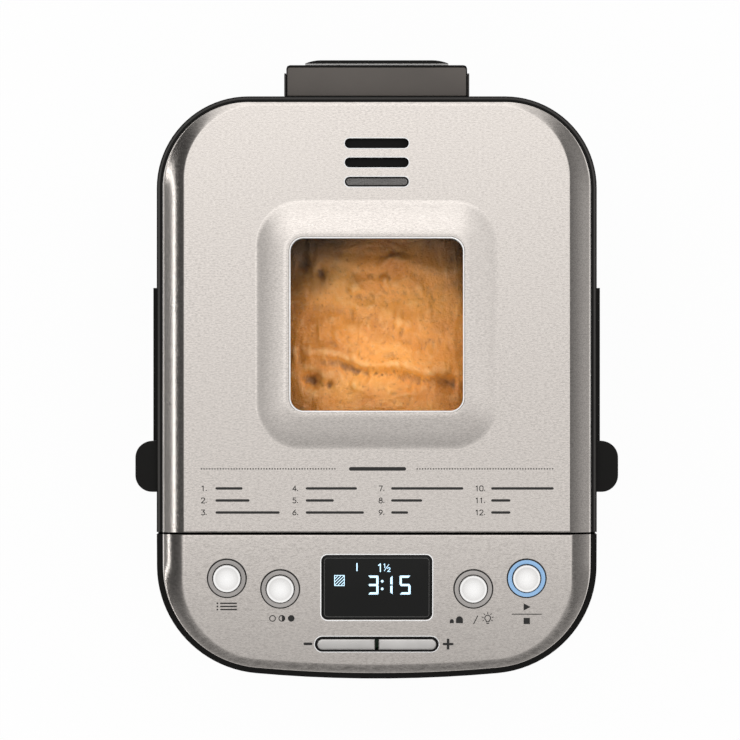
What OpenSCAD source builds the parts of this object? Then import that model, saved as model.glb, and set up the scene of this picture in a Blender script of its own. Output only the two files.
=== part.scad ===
// Countertop bread machine: steel body, hinged lid with a window, bread pan on a belt-driven paddle.
// Millimetres. +Z is up, +Y is the rear, the control panel is at -Y. The origin is under the middle of the
// whole machine, at the level that its feet stand on.

/* [Body] */
// Width of the body
body_w = 264; // [250:1:290]
// Depth of the body, without the hinge housing
body_d = 350; // [340:1:380]
// Height of the steel body wrap
shell_h = 222; // [215:1:260]
// Corner radius at the rear
rear_r = 55; // [45:1:65]
// Corner radius at the front
front_r = 65; // [55:1:72]
// Radius of the bowed front
bow_r = 806; // [600:1:1200]
// Thickness of the sheet steel
sheet_t = 0.8; // [0.6:0.1:1.2]
// Thickness of the moulded walls
wall_t = 2.5; // [2:0.1:3.5]

/* [Base] */
// Height of the rubber feet
foot_h = 6; // [4:0.5:10]
// Radius of the rubber feet
foot_r = 9; // [7:0.5:12]
// Height of the base tray
base_h = 22; // [20:1:30]
// Distance from the feet to the outline
foot_inset = 44; // [40:1:60]

/* [Deck and control panel] */
// Height of the deck above the wrap
deck_h = 18; // [16:1:24]
// Depth of the control panel
panel_d = 88; // [84:1:96]
// Slope of the control panel
panel_tilt = 7; // [4:0.5:9]
// Width of the black rim round the steel
rim_w = 4; // [3:0.25:6]
// Gap between the panel and the lid
lid_gap = 1.2; // [0.8:0.1:2]
// Sideways spacing of the outer buttons
outer_button_x = 89.7; // [86:0.1:92]
// Sideways spacing of the inner buttons
inner_button_x = 57.8; // [54:0.1:60]
// Outer buttons behind the panel's rear edge
outer_button_v = 27; // [24:0.1:32]
// Inner buttons behind the panel's rear edge
inner_button_v = 33.4; // [30:0.1:38]
// Outer radius of a button ring
ring_r = 12; // [11:0.25:12.5]
// Radius of a button cap
cap_r = 8.2; // [7:0.1:9]
// Travel of the buttons and keys
press_travel = 1.2; // [0.8:0.1:1.6]
// Width of the display
display_w = 66; // [60:1:72]
// Depth of the display
display_d = 39; // [34:1:42]
// Display middle behind the panel's rear edge
display_v = 32.6; // [30:0.1:36]
// Width of the pair of keys
keys_w = 73.5; // [66:0.5:80]
// Depth of the keys
keys_d = 8.4; // [7:0.1:10]
// Keys behind the panel's rear edge
keys_v = 67; // [64:0.5:70]

/* [Lid] */
// Height of the lid above the deck
lid_h = 32; // [30:1:38]
// Height of the rounded shoulder
shoulder_h = 11; // [9:0.5:13]
// Width of the shoulder at the sides
side_shoulder = 12.5; // [10:0.5:15]
// Width of the shoulder at the rear and front
end_shoulder = 5; // [4:0.5:8]
// Width of the window opening
window_w = 104.4; // [90:0.2:112]
// Window middle from the rear edge
window_back = 137; // [130:1:142]
// Corner radius of the window opening
window_r = 8.5; // [6:0.5:12]
// Height of the raised window frame
mound_h = 4; // [3:0.25:6]
// Width of the raised frame's flat top
mound_top = 116; // [114:0.5:120]
// Width of the raised frame's foot
mound_foot = 143; // [138:0.5:150]
// Extra depth of the raised frame's foot
mound_extra = 6; // [0:0.5:10]
// Thickness of the window panes
glass_t = 3; // [2.5:0.25:4]
// Number of steam slots
slot_n = 3; // [2:1:4]
// Length of a steam slot
slot_l = 38; // [30:1:50]
// Width of a steam slot
slot_w = 5.6; // [4:0.2:7]
// Spacing of the steam slots
slot_pitch = 11.5; // [10:0.5:13]
// First steam slot from the rear edge
slot_back = 28; // [26:0.5:32]
// Length of a lift tab
tab_l = 30.6; // [26:0.2:36]
// How far a lift tab sticks out
tab_out = 13; // [11:0.5:16]
// Lift tab from the lid's front edge
tab_back = 24; // [20:1:60]

/* [Hinge] */
// Width of the hinge tongue
tongue_w = 107.5; // [96:0.5:114]
// How far the hinge tongue sticks out
tongue_out = 18.6; // [16:0.2:20]
// How far the hinge housing sticks out
rear_out = 22; // [21:0.5:26]
// Thickness of the hinge ears
ear_t = 1.5; // [1.2:0.1:3]
// Radius of the hinge pins
pin_r = 2.5; // [2:0.1:3]
// Length of the hinge pins
pin_l = 16; // [12:1:24]

/* [Pan and chamber] */
// Width of the baking chamber
chamber_w = 184; // [178:1:190]
// Depth of the baking chamber
chamber_d = 220; // [212:1:224]
// Corner radius of the baking chamber
chamber_r = 25; // [20:1:30]
// Width of the bread pan
pan_w = 142; // [130:1:146]
// Depth of the bread pan
pan_d = 180; // [160:1:184]
// Height of the bread pan
pan_h = 150; // [140:1:154]
// Corner radius of the bread pan
pan_r = 22; // [18:1:28]
// Thickness of the pan wall
pan_t = 1.4; // [1.2:0.1:2]
// Width of the pan's rolled rim
pan_lip = 4; // [3:0.5:6]
// Radius of the bail's wire
bail_r = 2; // [1.5:0.1:2.5]
// Radius of the paddle shaft
shaft_r = 4; // [3.5:0.1:5]
// Length of the paddle blade
paddle_l = 46; // [40:1:56]
// Height of the risen dough above the pan's foot
dough_h = 140; // [120:1:144]

/* [Drive] */
// Radius of the large pulley
big_pulley_r = 45; // [40:1:52]
// Radius of the motor pulley
small_pulley_r = 9; // [8:0.5:12]
// Height of the pulleys
pulley_h = 12; // [10:0.5:14]
// Thickness of the belt
belt_t = 3; // [2.5:0.25:4]
// Radius of the motor
motor_r = 34; // [30:1:38]
// Height of the motor
motor_h = 62; // [50:1:70]
// Motor axis from the front edge
motor_front = 50; // [46:1:54]
// Radius of the drive shaft
drive_r = 5; // [4:0.25:6]

/* [Hidden] */

$fn = 72;
fit = 0.3;              // clearance between neighbours that do not touch
running = 0.05;         // radial clearance of a shaft in its hole
over = 1;               // how far a cut runs past the face it opens
arc_n = 12;             // flats along one crowned corner
front_y = -(body_d + rear_out) / 2;
rear_y = front_y + body_d;
split_y = front_y + panel_d;
half_w = body_w / 2;

// Levels, from the feet up
base_z = foot_h;
wrap_z = base_z + base_h;
deck_z = wrap_z + shell_h;
lid_z = deck_z + deck_h;
lid_low = lid_z + 2 * fit;
top_z = lid_z + lid_h;
rim_z = top_z - shoulder_h;
ledge_h = 5;                       // depth of the ledge that the steel covers stand on
ledge_w = 6;                       // width of that ledge
chassis_z = base_z + 40;
chassis_t = 2;
chamber_z = chassis_z + 16;
pan_z = chamber_z + 20;
pan_top = pan_z + pan_h;
pulley_z = base_z + 12;
belt_clear = 0.3;

// Plan positions
pan_y = rear_y - window_back;
motor_y = front_y + motor_front;
wrap_in = 1.5;                     // the wrap stands inside the black rim by this much
bow_y = front_y + bow_r;
corner_x = half_w - front_r;
corner_y = bow_y - sqrt(pow(bow_r - front_r, 2) - pow(corner_x, 2));
bow_a = asin(corner_x / (bow_r - front_r));
axis_y = rear_y + tongue_out / 2;
axis_z = lid_z + 9;
swing_r = 14.5;                    // everything behind the hinge axis turns inside this radius

// Shoulder profile: share of its width, share of its height
shoulder = [[0, 1], [0, 0.66], [0.08, 0.5], [0.24, 0.36], [0.55, 0.2], [1, 0]];

// ---------- outlines ----------

// The body's plan: two rear corners, two front corners and a bowed front, all arcs tangent
module outline(t = 0) {
    tangent_x = corner_x + (front_r - t) * sin(bow_a);
    tangent_y = corner_y - (front_r - t) * cos(bow_a);
    for (s = [-1, 1]) {
        translate([s * (half_w - rear_r), rear_y - rear_r]) circle(rear_r - t);
        translate([s * corner_x, corner_y]) circle(front_r - t);
    }
    polygon([[half_w - rear_r, rear_y - t], [rear_r - half_w, rear_y - t],
             [t - half_w, rear_y - rear_r], [t - half_w, corner_y],
             [-tangent_x, tangent_y], [tangent_x, tangent_y],
             [half_w - t, corner_y], [half_w - t, rear_y - rear_r]]);
    intersection() {
        translate([0, bow_y]) circle(bow_r - t, $fn = 720);
        translate([-tangent_x, front_y - over]) square([2 * tangent_x, front_r]);
    }
}

module rounded(w, d, r) {
    square([w - 2 * r, d], center = true);
    square([w, d - 2 * r], center = true);
    for (x = [-1, 1], y = [-1, 1]) translate([x * (w / 2 - r), y * (d / 2 - r)]) circle(r);
}

module slab(z0, z1) { translate([0, 0, z0]) linear_extrude(z1 - z0) children(); }

module block(low, high) { translate(low) cube(high - low); }

module stadium(l, w) {
    square([l - w, w], center = true);
    for (x = [-1, 1]) translate([x * (l - w) / 2, 0]) circle(w / 2);
}

module screw(head_r, shank_r, length) {
    cylinder(r = head_r, h = 2);
    translate([0, 0, -length]) cylinder(r = shank_r, h = length);
}

// Everything behind, or in front of, the line between the panel and the lid
module lid_side(z0, z1) {
    block([-body_w, split_y + lid_gap / 2, z0], [body_w, rear_y + over, z1]);
}

// The control panel's own plane: origin at the middle of its rear edge, +Z out of the panel
module panel() {
    translate([0, split_y, top_z]) rotate([panel_tilt, 0, 0]) children();
}

function panel_drop(y) = (split_y - y) * tan(panel_tilt);

// ---------- crowned steel covers ----------

function arc(c, r, a, b, n) = [for (i = [0:n]) c + r * [cos(a + (b - a) * i / n), sin(a + (b - a) * i / n)]];

// Plan of the lid cover, drawn in from the sides by s and from the rear by e
function lid_ring(s, e) =
    let (x = half_w - rim_w - s, y = rear_y - rim_w - e, r = rear_r - rim_w - (s + e) / 2,
         front = split_y + lid_gap / 2)
    concat([[x, front]], arc([x - r, y - r], r, 0, 90, arc_n), arc([r - x, y - r], r, 90, 180, arc_n),
           [[-x, front]]);

// Plan of the control fascia, drawn in from the sides by s and from the front by e
function panel_ring(s, e) =
    let (x = half_w - rim_w - s, big = bow_r - rim_w - e, r = front_r - rim_w - (s + e) / 2,
         cx = x - r, cy = bow_y - sqrt(pow(big - r, 2) - pow(cx, 2)), a = asin(cx / (big - r)),
         rear = split_y - lid_gap / 2)
    concat([[-x, rear]], arc([-cx, cy], r, 180, 270 - a, arc_n),
           arc([0, bow_y], big, 270 - a * 0.75, 270 + a * 0.75, 6),
           arc([cx, cy], r, 270 + a, 360, arc_n), [[x, rear]]);

// A closed solid through equal rings of points
module loft(rings) {
    n = len(rings[0]);
    m = len(rings);
    polyhedron(points = [for (ring = rings) each ring],
               faces = concat([[for (i = [0:n - 1]) i]], [[for (i = [n - 1:-1:0]) (m - 1) * n + i]],
                   [for (j = [0:m - 2], i = [0:n - 1], half = [0, 1])
                       let (k = (i + 1) % n, a = j * n + i, b = a + n, c = (j + 1) * n + k, d = j * n + k)
                       half == 0 ? [a, b, c] : [a, c, d]]));
}

// in: how far inside the outer skin; foot: how far the skirt goes below the shoulder
module lid_crown(in, foot) {
    loft(concat([[for (p = lid_ring(in, in)) [p.x, p.y, rim_z - foot]]],
                [for (q = shoulder) [for (p = lid_ring(in + q[0] * side_shoulder, in + q[0] * end_shoulder))
                    [p.x, p.y, top_z - in - q[1] * (shoulder_h - in)]]]));
}

module panel_crown(in, foot) {
    loft(concat([[for (p = panel_ring(in, in)) [p.x, p.y, rim_z - foot - panel_drop(p.y)]]],
                [for (q = shoulder) [for (p = panel_ring(in + q[0] * side_shoulder, in + q[0] * end_shoulder))
                    [p.x, p.y, top_z - panel_drop(p.y) - in - q[1] * (shoulder_h - in)]]]));
}

// ---------- base ----------

foot_places = [for (x = [-1, 1], y = [front_y + foot_inset, rear_y - foot_inset])
    [x * (half_w - foot_inset), y]];
base_screw_x = half_w - foot_inset;
base_screw_y = 62;
boss_r = 5;

module base_tray() {
    color("#1d1c1b") difference() {
        union() {
            slab(base_z, wrap_z) outline(wrap_in);
            slab(wrap_z - over, wrap_z + 6) outline(wrap_in + sheet_t + fit);
        }
        slab(base_z + wall_t, wrap_z + 7) outline(wrap_in + sheet_t + fit + wall_t);
        for (p = foot_places) translate([p.x, p.y, base_z - over]) cylinder(r = 3 + fit, h = wall_t + 2 * over);
        for (x = [-1, 1], y = [-1, 1]) translate([x * base_screw_x, y * base_screw_y, base_z - over])
            cylinder(r = 1.7, h = wall_t + 2 * over);
        for (i = [-4:4]) translate([i * 12, rear_y - 60, base_z - over])
            linear_extrude(wall_t + 2 * over) rotate(90) stadium(40, 4);
    }
    color("#1d1c1b") for (p = foot_places) translate([p.x, p.y, base_z + wall_t - 0.01]) difference() {
        cylinder(r = boss_r + 3, h = 4);
        translate([0, 0, -over]) cylinder(r = 5.5, h = 4 + 2 * over);
    }
}

module rubber_feet() {
    color("#2b2b2b") for (p = foot_places) translate([p.x, p.y, 0]) {
        rotate_extrude() polygon([[0, 0], [foot_r - 1, 0], [foot_r, 1], [foot_r - 1, foot_h], [0, foot_h]]);
        translate([0, 0, foot_h - 0.01]) cylinder(r = 3, h = wall_t + 0.01);
        translate([0, 0, foot_h + wall_t]) cylinder(r = 4.5, h = 1.5);
    }
}

module base_screws() {
    color("silver") for (x = [-1, 1], y = [-1, 1]) translate([x * base_screw_x, y * base_screw_y, base_z])
        mirror([0, 0, 1]) screw(3.2, 1.5, chassis_z - base_z);
}

// ---------- body ----------

handle_rear = 114;                 // rear end of the grip, from the rear edge
handle_l = 123;
handle_z = deck_z - 46;
handle_h = 22;
handle_out = 4.6;                  // past the black rim
handle_edge = 10;                  // from the grip's ends to its pocket
handle_lip = 4;                    // face above and below the pocket
pocket_depth = 22;
vent_n = 9;
vent_pitch = 11;
vent_l = 34;
vent_w = 4;
handle_y = rear_y - handle_rear - handle_l / 2;
gland_x = 70;
gland_r = 7;
gland_z = chassis_z + chassis_t + gland_r + 4;

module handle_box(grow) {
    block([half_w - wrap_in - pocket_depth - grow, handle_y - handle_l / 2 + handle_edge - grow, handle_z - grow],
          [half_w + handle_out, handle_y + handle_l / 2 - handle_edge + grow, handle_z + handle_h + grow]);
}

// The steel skin all round, before it is cut into its four sheets
module wrap_shell() {
    difference() {
        slab(wrap_z, deck_z) outline(wrap_in);
        slab(wrap_z - over, deck_z + over) outline(wrap_in + sheet_t);
        for (s = [0, 1]) mirror([s, 0, 0]) handle_box(fit);
        translate([gland_x, rear_y, gland_z]) rotate([90, 0, 0])
            cylinder(r = gland_r + fit, h = 20, center = true);
        for (i = [0:vent_n - 1]) translate([(i - (vent_n - 1) / 2) * vent_pitch, rear_y, wrap_z + vent_l + 6])
            rotate([90, 0, 0]) linear_extrude(20, center = true) rotate(90) stadium(vent_l, vent_w);
    }
}

module side_panels() {
    color("silver") for (s = [0, 1]) mirror([s, 0, 0]) intersection() {
        wrap_shell();
        block([0, corner_y, wrap_z], [half_w, rear_y - rear_r, deck_z]);
    }
}

module front_panel() {
    color("silver") intersection() {
        wrap_shell();
        block([-half_w, front_y, wrap_z], [half_w, corner_y, deck_z]);
    }
}

module rear_panel() {
    color("silver") intersection() {
        wrap_shell();
        block([-half_w, rear_y - rear_r, wrap_z], [half_w, rear_y, deck_z]);
    }
}

// Grips with a finger pocket, let into the side panels
module carry_handles() {
    color("#1a1918") for (s = [0, 1]) mirror([s, 0, 0]) difference() {
        union() {
            handle_box(0);
            block([half_w - wrap_in, handle_y - handle_l / 2, handle_z - handle_lip],
                  [half_w + handle_out, handle_y + handle_l / 2, handle_z + handle_h + handle_lip]);
        }
        block([half_w - wrap_in - pocket_depth + wall_t, handle_y - handle_l / 2 + handle_edge + wall_t,
               handle_z + wall_t],
              [half_w + handle_out + over, handle_y + handle_l / 2 - handle_edge - wall_t,
               handle_z + handle_h - wall_t]);
    }
}

deck_screw_places = [for (x = [-1, 1], y = [split_y + 30, rear_y - 30]) [x * (half_w - 20), y]];
bulkhead_t = 3;
cavity_in = rim_w + ledge_w;

module deck() {
    color("#1c1b1a") difference() {
        union() {
            slab(deck_z, lid_z) outline();
            slab(deck_z - 6, deck_z + over) outline(wrap_in + sheet_t + fit);
            intersection() {
                slab(deck_z, top_z) outline();
                block([-body_w, front_y - over, deck_z], [body_w, split_y - lid_gap / 2, top_z]);
            }
        }
        // the sloping top of the control housing, then the ledge that carries the fascia
        panel() translate([-body_w, -2 * panel_d, -shoulder_h]) cube([2 * body_w, 2 * panel_d + lid_h, lid_h]);
        intersection() {
            panel() translate([-body_w, -2 * panel_d, -shoulder_h - ledge_h])
                cube([2 * body_w, 2 * panel_d + lid_h, lid_h]);
            slab(deck_z, top_z + over) outline(rim_w - fit);
            block([-body_w, front_y, deck_z], [body_w, split_y, top_z + over]);
        }
        // hollow under the fascia
        intersection() {
            slab(deck_z - 7, top_z + over) outline(cavity_in);
            block([-body_w, front_y, deck_z - 7], [body_w, split_y - lid_gap / 2 - sheet_t - bulkhead_t - fit, top_z + over]);
        }
        slab(deck_z - 7, lid_z + over) translate([0, pan_y]) rounded(chamber_w, chamber_d, chamber_r);
        // hollow underside round the chamber
        slab(deck_z - 7, lid_z - wall_t) difference() {
            intersection() {
                outline(wrap_in + sheet_t + fit + wall_t);
                translate([-body_w, split_y + 8]) square([2 * body_w, body_d]);
            }
            translate([0, pan_y]) rounded(chamber_w + 6, chamber_d + 6, chamber_r + 3);
            for (p = deck_screw_places) translate(p) circle(boss_r);
        }
        for (p = deck_screw_places) translate([p.x, p.y, deck_z - 7]) cylinder(r = 1.4, h = deck_h + 2);
        slab(deck_z - 7, lid_z - wall_t) for (s = [-1, 1]) translate([s * (chamber_w / 2 + 8), pan_y])
            square([4, 30], center = true);
    }
}

module deck_screws() {
    color("silver") for (p = deck_screw_places) translate([p.x, p.y, deck_z - 8.5]) mirror([0, 0, 1])
        screw(3, 1.3, 12);
}

// ---------- control panel ----------

buttons = [[-outer_button_x, -outer_button_v], [-inner_button_x, -inner_button_v],
           [inner_button_x, -inner_button_v], [outer_button_x, -outer_button_v]];
ring_high = 1.2;                   // the rings stand this far out of the fascia
cap_high = 2.2;
cap_bottom = -6;
board_v = -9.5;                    // top of the control board below the panel face
board_t = 1.6;
switch_gap = press_travel + 0.2;
bezel_w = 1.2;
key_gap = 1.8;

module control_fascia() {
    color("#c9c5c1") difference() {
        panel_crown(0, ledge_h);
        panel_crown(sheet_t, ledge_h + over);
        panel() {
            for (b = buttons) translate([b.x, b.y, -8]) cylinder(r = ring_r - 1.5, h = 16);
            translate([0, -display_v, -8]) linear_extrude(16) rounded(display_w, display_d, 3.6);
            translate([0, -keys_v, -8]) linear_extrude(16) stadium(keys_w, keys_d);
        }
    }
}

module button_ring(b) {
    panel() translate([b.x, b.y, 0]) rotate_extrude() polygon([
        [cap_r + 0.35, cap_bottom + 1], [ring_r - 1.5 - 0.1, cap_bottom + 1], [ring_r - 1.5 - 0.1, 0.05],
        [ring_r, 0.05], [ring_r - 0.5, ring_high * 0.8], [ring_r - 1.6, ring_high],
        [cap_r + 0.9, ring_high], [cap_r + 0.35, ring_high - 0.6]]);
}

module button_rings() { color("#8f8b87") for (i = [0:2]) button_ring(buttons[i]); }

module start_ring() { color("#8db4d8") button_ring(buttons[3]); }

module button_cap(b) {
    panel() translate([b.x, b.y, 0]) rotate_extrude() polygon([
        [0, cap_bottom - 1], [2.4, cap_bottom - 1], [2.4, cap_bottom], [cap_r, cap_bottom],
        [cap_r, cap_high - 0.8], [cap_r - 0.8, cap_high], [0, cap_high - 0.5]]);
}

module menu_button() { color("#f0eeec") button_cap(buttons[0]); }

module shade_button() { color("#f0eeec") button_cap(buttons[1]); }

module size_button() { color("#f0eeec") button_cap(buttons[2]); }

module start_button() { color("#f0eeec") button_cap(buttons[3]); }

module display_lens() {
    color("#20201f") panel() translate([0, -display_v, 0]) {
        translate([0, 0, -2]) linear_extrude(2) rounded(display_w - 2 * fit, display_d - 2 * fit, 3.3);
        translate([0, 0, -3]) linear_extrude(1.01) rounded(display_w + 4, display_d + 4, 5);
    }
}

module display_module() {
    color("#3c4a44") panel() translate([0, -display_v, board_v])
        linear_extrude(-3 - board_v) rounded(display_w - 4, display_d - 3, 2);
}

module control_board() {
    color("#2d5a38") panel() translate([0, 0, board_v - board_t]) linear_extrude(board_t) difference() {
        polygon([[-outer_button_x - 10, -14], [outer_button_x + 10, -14], [outer_button_x + 10, -40],
                 [keys_w / 2 + 10, -keys_v - 7], [-keys_w / 2 - 10, -keys_v - 7], [-outer_button_x - 10, -40]]);
        for (s = [-1, 1]) translate([s * (outer_button_x + 5), -18]) circle(1.7);
    }
}

module switch_under(x, y) {
    panel() translate([x, y, board_v]) {
        linear_extrude(1.2) square(6, center = true);
        cylinder(r = 1.7, h = cap_bottom - 1 - switch_gap - board_v);
    }
}

module key_switches() {
    color("#4a4a4a") {
        for (b = buttons) switch_under(b.x, b.y);
        for (s = [-1, 1]) switch_under(s * keys_w / 4, -keys_v);
    }
}

module key_bezel() {
    color("#3a3836") panel() translate([0, -keys_v, 0]) difference() {
        union() {
            translate([0, 0, -5]) linear_extrude(5.3) stadium(keys_w - 0.2, keys_d - 0.2);
            translate([0, 0, 0.05]) linear_extrude(0.6) stadium(keys_w + 1.4, keys_d + 1.4);
        }
        translate([0, 0, -6]) linear_extrude(8) difference() {
            stadium(keys_w - 2 * bezel_w, keys_d - 2 * bezel_w);
            square([key_gap - 2 * fit, keys_d], center = true);
        }
    }
}

module key_cap(s) {
    panel() translate([0, -keys_v, -5]) {
        linear_extrude(6.4) intersection() {
            stadium(keys_w - 2 * bezel_w - fit, keys_d - 2 * bezel_w - fit);
            translate([s * (keys_w + key_gap) / 2, 0]) square([keys_w, keys_d], center = true);
        }
        translate([s * keys_w / 4, 0, -2]) cylinder(r = 2, h = 3);
    }
}

module minus_key() { color("#c4c0bc") key_cap(-1); }

module plus_key() { color("#c4c0bc") key_cap(1); }

// ---------- inside the body ----------

bearing_r = 12;
bearing_h = chamber_z - chassis_z - chassis_t;
board_y = motor_y;
lamp_z = chamber_z + 120;
lamp_y = pan_y - 50;
heater_r = 3.2;
heater_gap = 5;                    // from the element up to the pan
heater_z = pan_z - heater_gap - heater_r;
heater_in = 9;                     // from the chamber wall to the element's middle
sensor_z = chamber_z + 30;

// A standing plate that carries the chamber, the motor and the boards; rests on pillars of its own
module chassis_plate() {
    color("#b5b3ae") difference() {
        union() {
            slab(chassis_z, chassis_z + chassis_t) outline(wrap_in + sheet_t + 6);
            for (x = [-1, 1], y = [-1, 1]) translate([x * base_screw_x, y * base_screw_y, base_z + wall_t])
                cylinder(r = boss_r, h = chassis_z - base_z - wall_t + 0.01);
        }
        for (x = [-1, 1], y = [-1, 1]) translate([x * base_screw_x, y * base_screw_y, base_z])
            cylinder(r = 1.6, h = chassis_z);
        translate([0, pan_y, chassis_z - over]) cylinder(r = drive_r + 1, h = chassis_t + 2 * over);
        translate([0, motor_y, chassis_z - over]) cylinder(r = small_pulley_r + 4, h = chassis_t + 2 * over);
        for (x = [-1, 1], y = [-1, 1]) translate([x * (motor_r + 3), motor_y + y * 20, chassis_z - over])
            cylinder(r = 1.6, h = chassis_t + 2 * over);
    }
}

module chamber_liner() {
    color("#9fa09e") difference() {
        slab(chamber_z, deck_z - 6 - fit) translate([0, pan_y]) rounded(chamber_w, chamber_d, chamber_r);
        slab(chamber_z + sheet_t, deck_z) translate([0, pan_y])
            rounded(chamber_w - 2 * sheet_t, chamber_d - 2 * sheet_t, chamber_r - sheet_t);
        translate([0, pan_y, chamber_z - over]) cylinder(r = bearing_r - 3, h = 3 * over);
        translate([chamber_w / 2, lamp_y, lamp_z]) rotate([0, 90, 0]) cylinder(r = 14, h = 10, center = true);
        translate([-chamber_w / 2, pan_y, sensor_z]) rotate([0, 90, 0]) cylinder(r = 3 + fit, h = 10, center = true);
    }
    // legs down to the chassis plate
    color("#9fa09e") for (x = [-1, 1], y = [-1, 1])
        translate([x * (chamber_w / 2 - 30), pan_y + y * (chamber_d / 2 - 34), chassis_z + chassis_t])
            cylinder(r = 6, h = bearing_h + 0.01);
}

// Sheathed heating element: one loop under the rim of the pan's foot, with two straight tails to the terminals
module heater_element() {
    w = chamber_w / 2 - heater_in;
    d = chamber_d / 2 - heater_in;
    r = chamber_r;
    color("#555250") translate([0, pan_y, heater_z]) {
        for (x = [-1, 1], y = [-1, 1]) translate([x * (w - r), y * (d - r), 0])
            rotate(x > 0 ? (y > 0 ? 0 : 270) : (y > 0 ? 90 : 180))
                rotate_extrude(angle = 90) translate([r, 0]) circle(heater_r);
        for (x = [-1, 1]) translate([x * w, 0, 0]) rotate([90, 0, 0])
            cylinder(r = heater_r, h = 2 * (d - r), center = true);
        translate([0, d, 0]) rotate([0, 90, 0]) cylinder(r = heater_r, h = 2 * (w - r), center = true);
        for (x = [-1, 1]) translate([x * (w - r), -d, 0]) rotate([0, -x * 90, 0])
            cylinder(r = heater_r, h = w - r - 16);
        for (x = [-1, 1]) translate([x * 16, -d, 0]) {
            sphere(heater_r);
            translate([0, 0, sheet_t + chamber_z - heater_z + fit])
                cylinder(r = heater_r, h = heater_z - chamber_z - sheet_t - fit);
        }
    }
}

module heater_clips() {
    w = chamber_w / 2 - heater_in;
    d = chamber_d / 2 - heater_in;
    color("#8a8a88") for (p = [[w, 0, 0], [-w, 0, 0], [0, d, 90]]) translate([p.x, pan_y + p.y, 0]) rotate(p.z)
        block([-3, -3, chamber_z + sheet_t], [3, 3, heater_z - heater_r - 0.05]);
}

module temperature_sensor() {
    color("#d8d4cc") translate([-chamber_w / 2, pan_y, sensor_z]) rotate([0, 90, 0]) {
        translate([0, 0, -12]) cylinder(r = 3, h = 24);
        translate([0, 0, -4]) cylinder(r = 6, h = 3.9);
    }
}

module thermal_fuse() {
    color("#e8e4da") translate([-chamber_w / 2 - 2.6, pan_y + 40, sensor_z]) {
        rotate([90, 0, 0]) cylinder(r = 2.5, h = 24, center = true);
    }
}

module chamber_lamp() {
    color("#f4f0e0") translate([chamber_w / 2, lamp_y, lamp_z]) rotate([0, 90, 0]) {
        translate([0, 0, 4]) cylinder(r = 8, h = 16);
        translate([0, 0, 1]) cylinder(r = 15.5, h = 3);
    }
}

module lamp_lens() {
    color("#dfe6e8") translate([chamber_w / 2, lamp_y, lamp_z]) rotate([0, 90, 0]) {
        translate([0, 0, -2]) cylinder(r = 13.7, h = 3);
    }
}

board_x = -65;
board_w = 42;
board_l = 48;
board_lift = 8;                    // pillars under the board
choke_w = 22;
choke_h = 18.4;
capacitor_x = 66;
capacitor_r = 14;
capacitor_h = 40;

module power_board() {
    pillar_in = 4;
    translate([board_x, board_y, chassis_z + chassis_t]) {
        color("#2d5a38") {
            block([-board_w / 2, -board_l / 2, board_lift], [board_w / 2, board_l / 2, board_lift + board_t]);
            for (x = [-1, 1], y = [-1, 1])
                translate([x * (board_w / 2 - pillar_in), y * (board_l / 2 - pillar_in), 0])
                    cylinder(r = 2.5, h = board_lift + 0.01);
        }
        color("#c9b458") block([-choke_w / 2, -choke_w / 2, board_lift + board_t - 0.01],
                               [choke_w / 2, choke_w / 2, board_lift + board_t + choke_h]);
    }
}

module start_capacitor() {
    color("#e9e6e0") translate([capacitor_x, board_y, chassis_z + chassis_t]) cylinder(r = capacitor_r, h = capacitor_h);
}

module cord_gland() {
    color("#151515") translate([gland_x, rear_y - wrap_in, gland_z]) rotate([90, 0, 0]) {
        translate([0, 0, -3]) difference() {
            cylinder(r = gland_r + 3, h = 3);
            translate([0, 0, -over]) cylinder(r = 3.6, h = 6);
        }
        difference() {
            cylinder(r = gland_r, h = 8);
            translate([0, 0, -over]) cylinder(r = 3.6, h = 10);
        }
    }
}

// ---------- drive ----------

module drive_bearing() {
    color("#b08d57") translate([0, pan_y, chassis_z + chassis_t]) difference() {
        union() {
            cylinder(r = bearing_r, h = bearing_h - fit);
            cylinder(r = bearing_r + 8, h = 3);
        }
        translate([0, 0, -over]) cylinder(r = drive_r + running, h = bearing_h + 2 * over);
    }
}

dog_h = 8;
dog_z = chamber_z + 4;
dog_plate = 2.5;

module drive_shaft() {
    color("#c8c8c8") translate([0, pan_y, base_z + 6]) cylinder(r = drive_r, h = chamber_z + 4 - base_z - 6);
}

module large_pulley() {
    color("#e6e2d8") translate([0, pan_y, pulley_z]) difference() {
        union() {
            cylinder(r = big_pulley_r, h = pulley_h);
            cylinder(r = drive_r + 6, h = pulley_h + 5);
        }
        translate([0, 0, -over]) cylinder(r = drive_r, h = pulley_h + 10);
        for (a = [0:60:300]) rotate(a) translate([big_pulley_r * 0.58, 0, -over])
            cylinder(r = big_pulley_r * 0.18, h = pulley_h + 2 * over);
    }
}

// Plate with two pegs that drives the coupler under the pan
module drive_dog() {
    color("#8d8f91") translate([0, pan_y, dog_z]) {
        cylinder(r = 11, h = dog_plate);
        for (x = [-1, 1]) translate([x * 8.4, 0, 0]) cylinder(r = 2.4, h = dog_h);
    }
}

module motor_pulley() {
    color("#e6e2d8") translate([0, motor_y, pulley_z]) difference() {
        union() {
            cylinder(r = small_pulley_r, h = pulley_h);
            cylinder(r = small_pulley_r - 2, h = pulley_h + 4);
        }
        translate([0, 0, -over]) cylinder(r = 3, h = pulley_h + 10);
    }
}

motor_z = chassis_z + chassis_t + 6;
module motor_shaft() {
    color("#c8c8c8") translate([0, motor_y, pulley_z]) cylinder(r = 3, h = motor_z + 10 - pulley_z);
}

module belt_outline(grow) {
    hull() {
        translate([0, pan_y]) circle(big_pulley_r + grow, $fn = 64);
        translate([0, motor_y]) circle(small_pulley_r + grow, $fn = 32);
    }
}

module drive_belt() {
    color("#1b1b1b") slab(pulley_z + 2, pulley_z + pulley_h - 2) difference() {
        belt_outline(belt_t + belt_clear);
        belt_outline(belt_clear);
    }
}

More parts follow.
